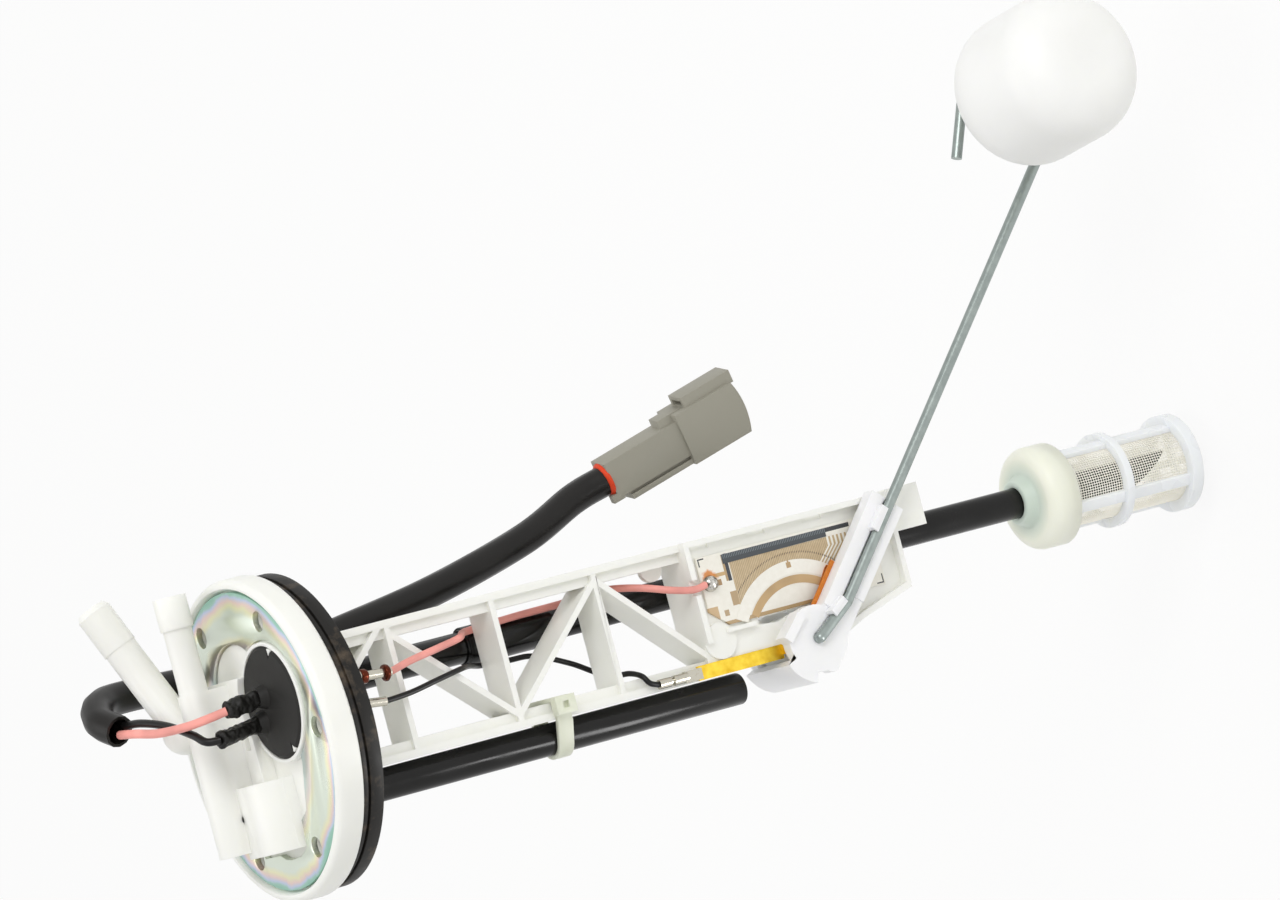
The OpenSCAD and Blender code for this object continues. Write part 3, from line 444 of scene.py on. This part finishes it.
# Heat-shrink sleeves
# Polyolefin tube shrunk over each soldered joint and the boot's collar: black, matt and
# wrinkled, with a thin lip where it ends on the wire.
shrink = sheath("Shrunk polyolefin sleeve", "#171614", 0.42, 1.1, 0.3)
folds = bpy.data.textures.new("Shrink folds", "CLOUDS")
folds.noise_scale = 3.2 * mm
for node in ("pink_sleeve", "black_sleeve"):
    cover = finished_copy(node, 0.3, "unit", shrink)
    select_only(cover)
    finish_with(cover, "REMESH", {"mode": "VOXEL", "voxel_size": 0.3 * mm})
    finish_with(cover, "DISPLACE", {"texture": folds, "texture_coords": "LOCAL",
                                    "strength": 1.9 * mm, "mid_level": 0.42})
    bpy.ops.object.shade_smooth()

# Posts and terminals
# Tinned brass posts through the flange, the crimped terminals on them, and the pins of the
# plug: a soft silver, with the brass showing where the tin is thin.
tin = new_material("Tinned brass")
place = add(tin, "ShaderNodeTexCoord")
smear = add(tin, "ShaderNodeTexNoise", {"Scale": 900.0, "Detail": 3.0},
            {"Vector": (place, "Object")})
thin = add(tin, "ShaderNodeMapRange", {"From Min": 0.6, "From Max": 0.85, "To Max": 0.5},
           {"Value": (smear, "Fac")})
tone = add(tin, "ShaderNodeMix",
           {"data_type": "RGBA", 6: linear("#c4c0b3"), 7: linear("#8f6d4c")}, {0: (thin, 0)})
bump = add(tin, "ShaderNodeBump", {"Strength": 0.3, "Distance": 0.03 * mm},
           {"Height": (smear, "Fac")})
metal = add(tin, "ShaderNodeBsdfPrincipled", {"Metallic": 1.0, "Roughness": 0.25},
            {"Base Color": (tone, 2), "Normal": (bump, 0)})
add(tin, "ShaderNodeOutputMaterial", links={"Surface": (metal, 0)})
for node in ("signal_post", "ground_post", "signal_terminal", "ground_terminal",
             "strip_terminal", "plug_pins"):
    finish_node(node, tin)

# The signal terminal's two joints are bare copper under red-brown varnish: each is a small
# uneven bead round the terminal.
varnish = sheath("Varnished copper joint", "#5f2612", 0.2, 0.6, 0.12)
shader_of(varnish).inputs["Metallic"].default_value = 0.7
lower, upper = Vector((9.8, -14, -25)) * mm, Vector((12, -12.7, 3)) * mm
along = (upper - lower).to_track_quat("Z", "Y").to_euler()
# where on the way from lower to upper, then radius and height in mm
beads = [(0.06, 2.5, 1.9), (0.31, 2.2, 2.4)]
for number, (share, width, height) in enumerate(beads):
    spot = lower.lerp(upper, share)
    bpy.ops.object.select_all(action="DESELECT")
    bpy.ops.mesh.primitive_cylinder_add(
        vertices=20, radius=width * mm, depth=height * mm, location=spot, rotation=along)
    bpy.ops.object.transform_apply(location=True, rotation=True, scale=True)
    bead = bpy.context.object
    bead.name = "copper_joint_%d" % (number + 1)
    finish_with(bead, "BEVEL", {"width": 0.8 * mm, "segments": 4})
    finish_with(bead, "DISPLACE", {"texture": folds, "texture_coords": "LOCAL",
                                   "strength": 0.7 * mm})
    bpy.ops.object.shade_smooth()
    bead.data.materials.append(varnish)
    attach(bead, "unit")

# Truss arm
# The open arm under the flange and the card's housing are one acetal moulding: two rails with
# cross ribs and diagonals, then a shallow tray with its bearing boss.
finished_copy("truss_arm", 0.25, "unit", acetal)

# Resistor card
# Fired alumina card with printed inks. The colours are laid over each other in the order of
# printing: tan contact field with its fine lines, wide white lines, dots, pads and marks.
pivot = Vector(next(j["pos_m"] for j in frame["joints"] if j["name"] == "arm_swing"))
field_r, dots_r = 24.4 * mm, 26.7 * mm
# half of the pitch and half of the width of the lines, and half of the dots' height
fine_half, fine_line = 0.3 * mm, 0.13 * mm
wide_half, wide_line = 0.7 * mm, 0.36 * mm
dot_half = 0.28 * mm
bend_x, bend_slope = 13.3 * mm, -1.03
wide_top, wide_first = -15.0 * mm, -15.7 * mm
card = new_material("Printed alumina card")
place = add(card, "ShaderNodeTexCoord")
near = add(card, "ShaderNodeMapping", {"Location": (0.0, 0.0, -pivot.z)},
           {"Vector": (place, "Object")})
axes = add(card, "ShaderNodeSeparateXYZ", links={0: (near, 0)})
plane = add(card, "ShaderNodeMapping",
            {"Scale": (1.0, 0.0, 1.0), "Location": (-pivot.x, 0.0, -pivot.z)},
            {"Vector": (place, "Object")})
radius = add(card, "ShaderNodeVectorMath", {"operation": "LENGTH"}, {0: (plane, 0)})


def patch(material, axes, x0, x1, z0, z1):
    """A rectangle of the print, in mm across the card and along it from the pivot."""
    wide = add(material, "ShaderNodeMath", {"operation": "COMPARE", 1: (x0 + x1) / 2 * mm,
                                            2: (x1 - x0) / 2 * mm}, {0: (axes, "X")})
    tall = add(material, "ShaderNodeMath", {"operation": "COMPARE", 1: (z0 + z1) / 2 * mm,
                                            2: (z1 - z0) / 2 * mm}, {0: (axes, "Z")})
    return add(material, "ShaderNodeMath", {"operation": "MULTIPLY"}, {0: (wide, 0), 1: (tall, 0)})


fired = add(card, "ShaderNodeTexNoise", {"Scale": 600.0, "Detail": 3.0},
            {"Vector": (place, "Object")})
bare = add(card, "ShaderNodeValToRGB", links={"Fac": (fired, "Fac")})
bare.color_ramp.elements[0].color = linear("#e9e5d9")
bare.color_ramp.elements[1].color = linear("#f6f3ea")
ink = add(card, "ShaderNodeValToRGB", links={"Fac": (fired, "Fac")})
ink.color_ramp.elements[0].color = linear("#b9a07b")
ink.color_ramp.elements[1].color = linear("#dac6a3")
field = patch(card, axes, 2.9, 15.9, -24.2, 19.2)
outer = add(card, "ShaderNodeMath", {"operation": "GREATER_THAN", 1: field_r},
            {0: (radius, "Value")})
field = add(card, "ShaderNodeMath", {"operation": "MULTIPLY"}, {0: (field, 0), 1: (outer, 0)})
colour = add(card, "ShaderNodeMix", {"data_type": "RGBA"},
             {0: (field, 0), 6: (bare, "Color"), 7: (ink, "Color")})
# fine lines 0.6 mm apart run across the field, and wide ones 1.4 mm apart bend to the arc
drop = add(card, "ShaderNodeMath", {"operation": "SUBTRACT", 0: bend_x}, {1: (axes, "X")})
drop = add(card, "ShaderNodeMath", {"operation": "MAXIMUM", 1: 0.0}, {0: (drop, 0)})
bent = add(card, "ShaderNodeMath", {"operation": "MULTIPLY_ADD", 1: bend_slope},
           {0: (drop, 0), 2: (axes, "Z")})
wide_end = add(card, "ShaderNodeMath", {"operation": "LESS_THAN", 1: wide_top},
               {0: (bent, 0)})
fine = add(card, "ShaderNodeMath", {"operation": "PINGPONG", 1: fine_half}, {0: (axes, "Z")})
fine = add(card, "ShaderNodeMath", {"operation": "LESS_THAN", 1: fine_line}, {0: (fine, 0)})
fine = add(card, "ShaderNodeMath", {"operation": "MULTIPLY", 1: 0.55}, {0: (fine, 0)})
fine = add(card, "ShaderNodeMath", {"operation": "MULTIPLY"}, {0: (fine, 0), 1: (field, 0)})
layers = [(fine, "#8d7a5e")]
plain = add(card, "ShaderNodeMath", {"operation": "MULTIPLY"}, {0: (wide_end, 0), 1: (field, 0)})
layers.append((plain, "#c2a983"))
shifted = add(card, "ShaderNodeMath", {"operation": "ADD", 1: -wide_first}, {0: (bent, 0)})
wide = add(card, "ShaderNodeMath", {"operation": "PINGPONG", 1: wide_half}, {0: (shifted, 0)})
wide = add(card, "ShaderNodeMath", {"operation": "LESS_THAN", 1: wide_line}, {0: (wide, 0)})
wide = add(card, "ShaderNodeMath", {"operation": "MULTIPLY"}, {0: (wide, 0), 1: (plain, 0)})
layers.append((wide, "#f1eee4"))
row = add(card, "ShaderNodeMath", {"operation": "COMPARE", 1: dots_r, 2: dot_half},
          {0: (radius, "Value")})
dots = add(card, "ShaderNodeMath", {"operation": "MULTIPLY"}, {0: (row, 0), 1: (fine, 0)})
dots = add(card, "ShaderNodeMath", {"operation": "MULTIPLY", 1: 1.7}, {0: (dots, 0)})
layers.append((dots, "#4b4034"))
# pads and marks: from and to across the card, from and to along it, and the ink
for x0, x1, z0, z1, shade in [
        (3.1, 7.3, 19.1, 21.4, "#b59b76"), (10.6, 18.6, 20.7, 21.5, "#b59b76"),
        (12.5, 13.6, 21.3, 25.4, "#c9a878"), (-2.0, -0.9, -6.5, 27.0, "#b4976c"),
        (-2.0, 4.1, 26.7, 31.0, "#cdb088"), (9.9, 11.7, 23.2, 24.8, "#ad8e68"),
        (0.6, 2.4, 23.3, 24.9, "#b59b76"), (10.5, 18.7, 19.5, 20.7, "#41444a"),
        (17.3, 18.6, -24.1, -15.2, "#3a3d40"), (16.5, 18.9, 29.1, 29.5, "#3a3d40"),
        (18.5, 18.9, 27.3, 29.5, "#3a3d40"), (-1.6, 1.2, -31.0, -30.6, "#3a3d40"),
        (-1.6, -1.2, -31.0, -28.5, "#3a3d40")]:
    layers.append((patch(card, axes, x0, x1, z0, z1), shade))
# amber flux has run a little way out from the solder joint
joint_x, joint_z = 12.6 * mm, pivot.z + 26.9 * mm
stain_r, stain_end = 3.4 * mm, 4.4 * mm
stain = add(card, "ShaderNodeMapping",
            {"Scale": (1.0, 0.0, 1.0), "Location": (-joint_x, 0.0, -joint_z)},
            {"Vector": (place, "Object")})
stain = add(card, "ShaderNodeVectorMath", {"operation": "LENGTH"}, {0: (stain, 0)})
blot = add(card, "ShaderNodeMath", {"operation": "MULTIPLY_ADD", 1: 3.0 * mm},
           {0: (fired, "Fac"), 2: (stain, "Value")})
blot = add(card, "ShaderNodeMapRange", {"From Min": stain_r, "From Max": stain_end,
                                        "To Min": 0.9, "To Max": 0.0}, {"Value": (blot, 0)})
layers.append((blot, "#d9811f"))
for mask, shade in layers:
    colour = add(card, "ShaderNodeMix", {"data_type": "RGBA", 7: linear(shade)},
                 {0: (mask, 0), 6: (colour, 2)})
skin = add(card, "ShaderNodeBsdfPrincipled", {"Roughness": 0.45},
           {"Base Color": (colour, 2)})
add(card, "ShaderNodeOutputMaterial", links={"Surface": (skin, 0)})
finished_copy("resistor_card", 0.12, "unit", card)

# The dark resistor band and the two contact arcs are raised a tenth of a millimetre. The
# band's outer part, beyond film_edge, has a comb of fine lines.
film_edge = 17.3 * mm
film = new_material("Fired resistor ink")
place = add(film, "ShaderNodeTexCoord")
axes = add(film, "ShaderNodeSeparateXYZ", links={0: (place, "Object")})
comb = add(film, "ShaderNodeMath", {"operation": "PINGPONG", 1: fine_half}, {0: (axes, "Z")})
comb = add(film, "ShaderNodeMath", {"operation": "LESS_THAN", 1: 0.12 * mm}, {0: (comb, 0)})
high = add(film, "ShaderNodeMath", {"operation": "GREATER_THAN", 1: film_edge},
           {0: (axes, "X")})
comb = add(film, "ShaderNodeMath", {"operation": "MULTIPLY"}, {0: (comb, 0), 1: (high, 0)})
bands = add(film, "ShaderNodeMix",
            {"data_type": "RGBA", 6: linear("#6d757a"), 7: linear("#25292d")}, {0: (comb, 0)})
tone = add(film, "ShaderNodeMix", {"data_type": "RGBA", 6: linear("#454a4e")},
           {0: (high, 0), 7: (bands, 2)})
skin = add(film, "ShaderNodeBsdfPrincipled", {"Roughness": 0.38}, {"Base Color": (tone, 2)})
add(film, "ShaderNodeOutputMaterial", links={"Surface": (skin, 0)})
finish_node("resistor_film", film)

white_arc = new_material("Fired white contact ink")
place = add(white_arc, "ShaderNodeTexCoord")
near = add(white_arc, "ShaderNodeMapping", {"Location": (0.0, 0.0, -pivot.z)},
           {"Vector": (place, "Object")})
axes = add(white_arc, "ShaderNodeSeparateXYZ", links={0: (near, 0)})
fired = add(white_arc, "ShaderNodeTexNoise", {"Scale": 700.0, "Detail": 3.0},
            {"Vector": (place, "Object")})
bare = add(white_arc, "ShaderNodeValToRGB", links={"Fac": (fired, "Fac")})
bare.color_ramp.elements[0].color = linear("#ece8dd")
bare.color_ramp.elements[1].color = linear("#f8f6ee")
notch_wide = patch(white_arc, axes, 9.8, 11.5, -1.1, 0.5)
notch_thin = patch(white_arc, axes, 11.4, 12.3, -0.6, 0.0)
notch_mark = add(white_arc, "ShaderNodeMath", {"operation": "MAXIMUM"},
                 {0: (notch_wide, 0), 1: (notch_thin, 0)})
colour = add(white_arc, "ShaderNodeMix", {"data_type": "RGBA", 7: linear("#b89a70")},
             {0: (notch_mark, 0), 6: (bare, "Color")})
skin = add(white_arc, "ShaderNodeBsdfPrincipled", {"Roughness": 0.42},
           {"Base Color": (colour, 2)})
add(white_arc, "ShaderNodeOutputMaterial", links={"Surface": (skin, 0)})
finish_node("contact_comb", white_arc)
finish_node("contact_arc", sheath("Fired tan contact ink", "#c2a47a", 0.45, 0.5, 0.02))

# Solder joint
# A bright blob of soft solder that holds the signal wire on the card.
solder = new_material("Soft solder")
place = add(solder, "ShaderNodeTexCoord")
slag = add(solder, "ShaderNodeTexNoise", {"Scale": 700.0, "Detail": 3.0},
           {"Vector": (place, "Object")})
tone = add(solder, "ShaderNodeValToRGB", links={"Fac": (slag, "Fac")})
tone.color_ramp.elements[0].position = 0.35
tone.color_ramp.elements[0].color = linear("#6c655b")
tone.color_ramp.elements[1].position = 0.6
tone.color_ramp.elements[1].color = linear("#dad8d2")
bump = add(solder, "ShaderNodeBump", {"Strength": 0.8, "Distance": 0.25 * mm},
           {"Height": (slag, "Fac")})
metal = add(solder, "ShaderNodeBsdfPrincipled", {"Metallic": 1.0, "Roughness": 0.15},
            {"Base Color": (tone, "Color"), "Normal": (bump, 0)})
add(solder, "ShaderNodeOutputMaterial", links={"Surface": (metal, 0)})
finish_node("solder_joint", solder)

# Brass strip
# Rolled brass strip along the lower rail that brings earth to the arm's shaft: warm yellow
# with fine lines along its length.
brass = new_material("Rolled brass strip")
place = add(brass, "ShaderNodeTexCoord")
roll = add(brass, "ShaderNodeMapping", {"Scale": (1.0, 1.0, 0.08)},
           {"Vector": (place, "Object")})
lines = add(brass, "ShaderNodeTexNoise", {"Scale": 2500.0, "Detail": 2.0}, {"Vector": (roll, 0)})
stains = add(brass, "ShaderNodeTexNoise", {"Scale": 260.0, "Detail": 3.0},
             {"Vector": (place, "Object")})
rough = add(brass, "ShaderNodeMapRange", {"To Min": 0.28, "To Max": 0.5},
            {"Value": (lines, "Fac")})
tone = add(brass, "ShaderNodeValToRGB", links={"Fac": (stains, "Fac")})
tone.color_ramp.elements[0].position = 0.3
tone.color_ramp.elements[0].color = linear("#d6ac2c")
tone.color_ramp.elements[1].position = 0.65
tone.color_ramp.elements[1].color = linear("#f0d24e")
metal = add(brass, "ShaderNodeBsdfPrincipled", {"Metallic": 1.0},
            {"Base Color": (tone, "Color"), "Roughness": (rough, 0)})
add(brass, "ShaderNodeOutputMaterial", links={"Surface": (metal, 0)})
finish_node("ground_strip", brass)

# Arm carrier
# Natural nylon moulding on the wire's shaft, with two clips that the wire snaps into and a
# stop finger at the back: bluish white, and it lets some light through.
nylon = moulded("Natural nylon carrier", "#fbfbfd", 0.34, 0.5)
finished_copy("arm_carrier", 0.3, "arm", nylon)

# Wiper
# Phosphor bronze leaf spring under the carrier, with two fingers on the card: orange brown,
# with fine lines from rolling.
bronze = new_material("Phosphor bronze spring")
place = add(bronze, "ShaderNodeTexCoord")
lines = add(bronze, "ShaderNodeTexNoise", {"Scale": 1800.0, "Detail": 2.0},
            {"Vector": (place, "Object")})
tone = add(bronze, "ShaderNodeValToRGB", links={"Fac": (lines, "Fac")})
tone.color_ramp.elements[0].color = linear("#c9702a")
tone.color_ramp.elements[1].color = linear("#ec9a4c")
metal = add(bronze, "ShaderNodeBsdfPrincipled", {"Metallic": 0.85, "Roughness": 0.42},
            {"Base Color": (tone, "Color")})
add(bronze, "ShaderNodeOutputMaterial", links={"Surface": (metal, 0)})
finish_node("wiper_contact", bronze)

# Float wire and clip
# Drawn steel wire of 3.3 mm, bent in one piece from the pivot to the float, zinc plated to a
# grey green, with faint draw marks. A push-on clip holds it behind the housing.
steel = new_material("Drawn plated steel wire")
place = add(steel, "ShaderNodeTexCoord")
drawn = add(steel, "ShaderNodeTexNoise", {"Scale": 420.0, "Detail": 3.0},
            {"Vector": (place, "Object")})
tone = add(steel, "ShaderNodeValToRGB", links={"Fac": (drawn, "Fac")})
tone.color_ramp.elements[0].position = 0.3
tone.color_ramp.elements[0].color = linear("#97a09d")
tone.color_ramp.elements[1].position = 0.7
tone.color_ramp.elements[1].color = linear("#a5aeaa")
rough = add(steel, "ShaderNodeMapRange", {"To Min": 0.26, "To Max": 0.44},
            {"Value": (drawn, "Fac")})
metal = add(steel, "ShaderNodeBsdfPrincipled", {"Metallic": 1.0},
            {"Base Color": (tone, "Color"), "Roughness": (rough, 0)})
add(steel, "ShaderNodeOutputMaterial", links={"Surface": (metal, 0)})
finish_node("float_wire", steel)
finish_node("shaft_clip", steel)

# Float
# Hollow moulded float that turns on the wire's end bar: satin white with a soft, slightly
# uneven skin.
foam = moulded("Moulded float skin", "#fbfbf8", 0.42, 0.3, 0.06, 2.5)
finished_copy("float", 0.6, "float", foam)

# Pick-up line and hose
# Two lengths of extruded nylon pipe with a rubber joiner, and the rubber return hose. All are
# glossy black, so they show long soft highlights.
pipe = sheath("Extruded black nylon pipe", "#121110", 0.19, 0.6, 0.008)
for node in ("pickup_upper_pipe", "pickup_lower_pipe"):
    finished_copy(node, 0.3, "unit", pipe)
hose = sheath("Extruded rubber hose", "#121110", 0.19, 0.6, 0.008)
finished_copy("pickup_joiner", 0.4, "unit", hose)
finished_copy("return_hose", 0.5, "unit", hose)

# Cable tie
# Natural nylon tie round the lower rail and the hose, with its head on the outside.
tie = moulded("Natural nylon cable tie", "#e3e6d3", 0.4, 0.4)
finished_copy("cable_tie", 0.15, "unit", tie)

# Strainer
# The cup and the cage are nylon mouldings, ivory and nearly clear. The cup is pushed on the
# pipe, and the cage on the cup.
cup_low, cup_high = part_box("strainer_cup")
strainer_middle = Vector(((cup_low[0] + cup_high[0]) / 2, (cup_low[1] + cup_high[1]) / 2, 0))
pipe_edge, neck_edge, skirt_raised = 8.0 * mm, 13.0 * mm, 5.5 * mm
cup_skin = moulded("Ivory nylon strainer cup", "#f8faea", 0.36, 0.55)
# painted shade: near the pipe the neck's colour is made darker and blue green, standing in for
# the black pipe seen through the thin wall
place = add(cup_skin, "ShaderNodeTexCoord")
flat = add(cup_skin, "ShaderNodeMapping",
           {"Location": tuple(-strainer_middle), "Scale": (1.0, 1.0, 0.0)},
           {"Vector": (place, "Object")})
away = add(cup_skin, "ShaderNodeVectorMath", {"operation": "LENGTH"}, {0: (flat, 0)})
neck_shade_share = add(cup_skin, "ShaderNodeMapRange",
           {"From Min": pipe_edge, "From Max": neck_edge, "To Min": 0.8, "To Max": 0.0},
           {"Value": (away, "Value")})
skin = shader_of(cup_skin)
ivory = skin.inputs["Base Color"].links[0].from_node
# painted shade: the darker blue green mixed into the ivory near the pipe
pipe_shade_colour = add(cup_skin, "ShaderNodeMix", {"data_type": "RGBA", 7: linear("#c6d5cb")},
             {0: (neck_shade_share, 0), 6: (ivory, 0)})
cup_skin.node_tree.links.new(pipe_shade_colour.outputs[2], skin.inputs["Base Color"])
cup = finished_copy("strainer_cup", 0.5, "unit", cup_skin)
# the cup's skirt ends higher than the solid's, where the photograph has the cage's collar
select_only(cup)
skirt_end = cup_low[2] + skirt_raised
bpy.ops.object.mode_set(mode="EDIT")
bpy.ops.mesh.select_all(action="SELECT")
bpy.ops.mesh.bisect(plane_co=(0, 0, skirt_end), plane_no=(0, 0, 1), clear_inner=True)
bpy.ops.mesh.select_all(action="DESELECT")
bpy.ops.mesh.select_non_manifold(extend=False)
bpy.ops.mesh.bridge_edge_loops()
bpy.ops.object.mode_set(mode="OBJECT")
cage_skin = moulded("Clear nylon strainer cage", "#f3f6fa", 0.28, 0.6)
finished_copy("strainer_cage", 0.3, "unit", cage_skin)

# The screen is a sleeve of woven nylon thread, 0.9 mm from thread to thread, with the black
# pipe dark behind it. One ring and one upright are made and repeated, and its closed end is
# crossed with the same thread.
mesh_low, mesh_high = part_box("strainer_mesh")
end_gap = 0.2 * mm
screen_bottom, screen_top = mesh_low[2] + end_gap, mesh_high[2] - end_gap
screen_r, thread_r = 11.42 * mm, 0.13 * mm
row_count, upright_count, cross_count = 58, 90, 23
row_step = (screen_top - screen_bottom - 2 * end_gap) / (row_count - 1)
bpy.ops.object.select_all(action="DESELECT")
bpy.ops.mesh.primitive_torus_add(
    major_radius=screen_r, minor_radius=thread_r, major_segments=52, minor_segments=4,
    location=(strainer_middle.x, strainer_middle.y, screen_bottom + end_gap))
screen = bpy.context.object
screen.name = "strainer_screen"
finish_with(screen, "ARRAY", {"use_relative_offset": False, "use_constant_offset": True,
                              "constant_offset_displace": (0, 0, row_step),
                              "count": row_count})
bpy.ops.object.transform_apply(location=True, rotation=True, scale=True)
bpy.ops.object.select_all(action="DESELECT")
bpy.ops.mesh.primitive_cylinder_add(
    vertices=5, radius=thread_r, depth=screen_top - screen_bottom,
    location=(strainer_middle.x + screen_r, strainer_middle.y, (screen_top + screen_bottom) / 2))
upright = bpy.context.object
bpy.ops.object.transform_apply(location=True, rotation=True, scale=True)
bpy.ops.object.mode_set(mode="EDIT")
bpy.ops.mesh.select_all(action="SELECT")
bpy.ops.mesh.spin(steps=upright_count - 1, dupli=True,
                  angle=2 * math.pi * (upright_count - 1) / upright_count,
                  center=tuple(strainer_middle), axis=(0, 0, 1))
bpy.ops.object.mode_set(mode="OBJECT")
threads = [upright]
for k in range(cross_count):
    side = (2 * (k + 0.5) / cross_count - 1) * screen_r
    half = math.sqrt(screen_r ** 2 - side ** 2)
    for spot, turn in [((side, 0), (math.pi / 2, 0, 0)), ((0, side), (0, math.pi / 2, 0))]:
        bpy.ops.mesh.primitive_cylinder_add(
            vertices=5, radius=thread_r, depth=2 * half, rotation=turn,
            location=(strainer_middle.x + spot[0], strainer_middle.y + spot[1],
                      screen_bottom + end_gap))
        threads.append(bpy.context.object)
        bpy.ops.object.transform_apply(location=True, rotation=True, scale=True)
select_only(screen)
for thread in threads:
    thread.select_set(True)
bpy.ops.object.join()
bpy.ops.object.mode_set(mode="EDIT")
bpy.ops.mesh.select_all(action="SELECT")
bpy.ops.mesh.normals_make_consistent(inside=False)
bpy.ops.object.mode_set(mode="OBJECT")
bpy.ops.object.shade_smooth()
# nylon thread: off-white, and light passes through it; it is also given a faint glow, painted
# light, so that the sleeve looks bright
weave = new_material("Woven nylon thread")
place = add(weave, "ShaderNodeTexCoord")
slubs = add(weave, "ShaderNodeTexNoise", {"Scale": 300.0, "Detail": 2.0},
            {"Vector": (place, "Object")})
tone = add(weave, "ShaderNodeValToRGB", links={"Fac": (slubs, "Fac")})
tone.color_ramp.elements[0].color = linear("#f2f0e8")
tone.color_ramp.elements[1].color = linear("#fdfcf8")
# painted light: the emission makes the thread glow a little of itself
skin = add(weave, "ShaderNodeBsdfPrincipled", {"Roughness": 0.4, "Emission Strength": 0.3},
           {"Base Color": (tone, "Color"), "Emission Color": (tone, "Color")})
through = add(weave, "ShaderNodeBsdfTranslucent", links={"Color": (tone, "Color")})
both = add(weave, "ShaderNodeMixShader", {0: 0.55}, {1: (skin, 0), 2: (through, 0)})
add(weave, "ShaderNodeOutputMaterial", links={"Surface": (both, 0)})
screen.data.materials.append(weave)
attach(screen, "unit")
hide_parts("strainer_mesh")

# Plug
# Two-way plug housing of glass-filled nylon, grey with a green cast and matt, with an orange
# silicone seal round the wires at its rear and a wedge between the pins in its mouth.
grey = moulded("Grey glass-filled nylon", "#9a978a", 0.5, 0.0, 0.03, 0.6)
finished_copy("plug_shell", 0.4, "unit", grey)
finish_node("plug_wedge", sheath("Orange moulded wedge", "#d9742a", 0.45, 0.5, 0.02))
silicone = sheath("Orange silicone seal", "#e2451f", 0.5, 0.5, 0.02)
finish_node("plug_seal", silicone)

# The seal's lip shows as a thin orange ring round the tube where it enters the plug. It is
# squeezed between the two, so it widens a little towards the plug.
bpy.ops.object.select_all(action="DESELECT")
lip_r, lip_thick, lip_out = 4.9 * mm, 0.75 * mm, 0.35
bpy.ops.mesh.primitive_torus_add(
    major_radius=lip_r, minor_radius=lip_thick, major_segments=40, minor_segments=10)
lip = bpy.context.object
lip.name = "plug_seal_lip"
finish_with(lip, "SIMPLE_DEFORM", {"deform_method": "TAPER", "deform_axis": "Z",
                                   "factor": 0.12})
lip.location = (plug_rear - lip_out * plug_axis) * mm
lip.rotation_euler = plug_axis.to_track_quat("Z", "Y").to_euler()
bpy.ops.object.transform_apply(location=True, rotation=True, scale=True)
bpy.ops.object.shade_smooth()
lip.data.materials.append(silicone)
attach(lip, "unit")

bpy.context.scene.view_settings.view_transform = "Standard"
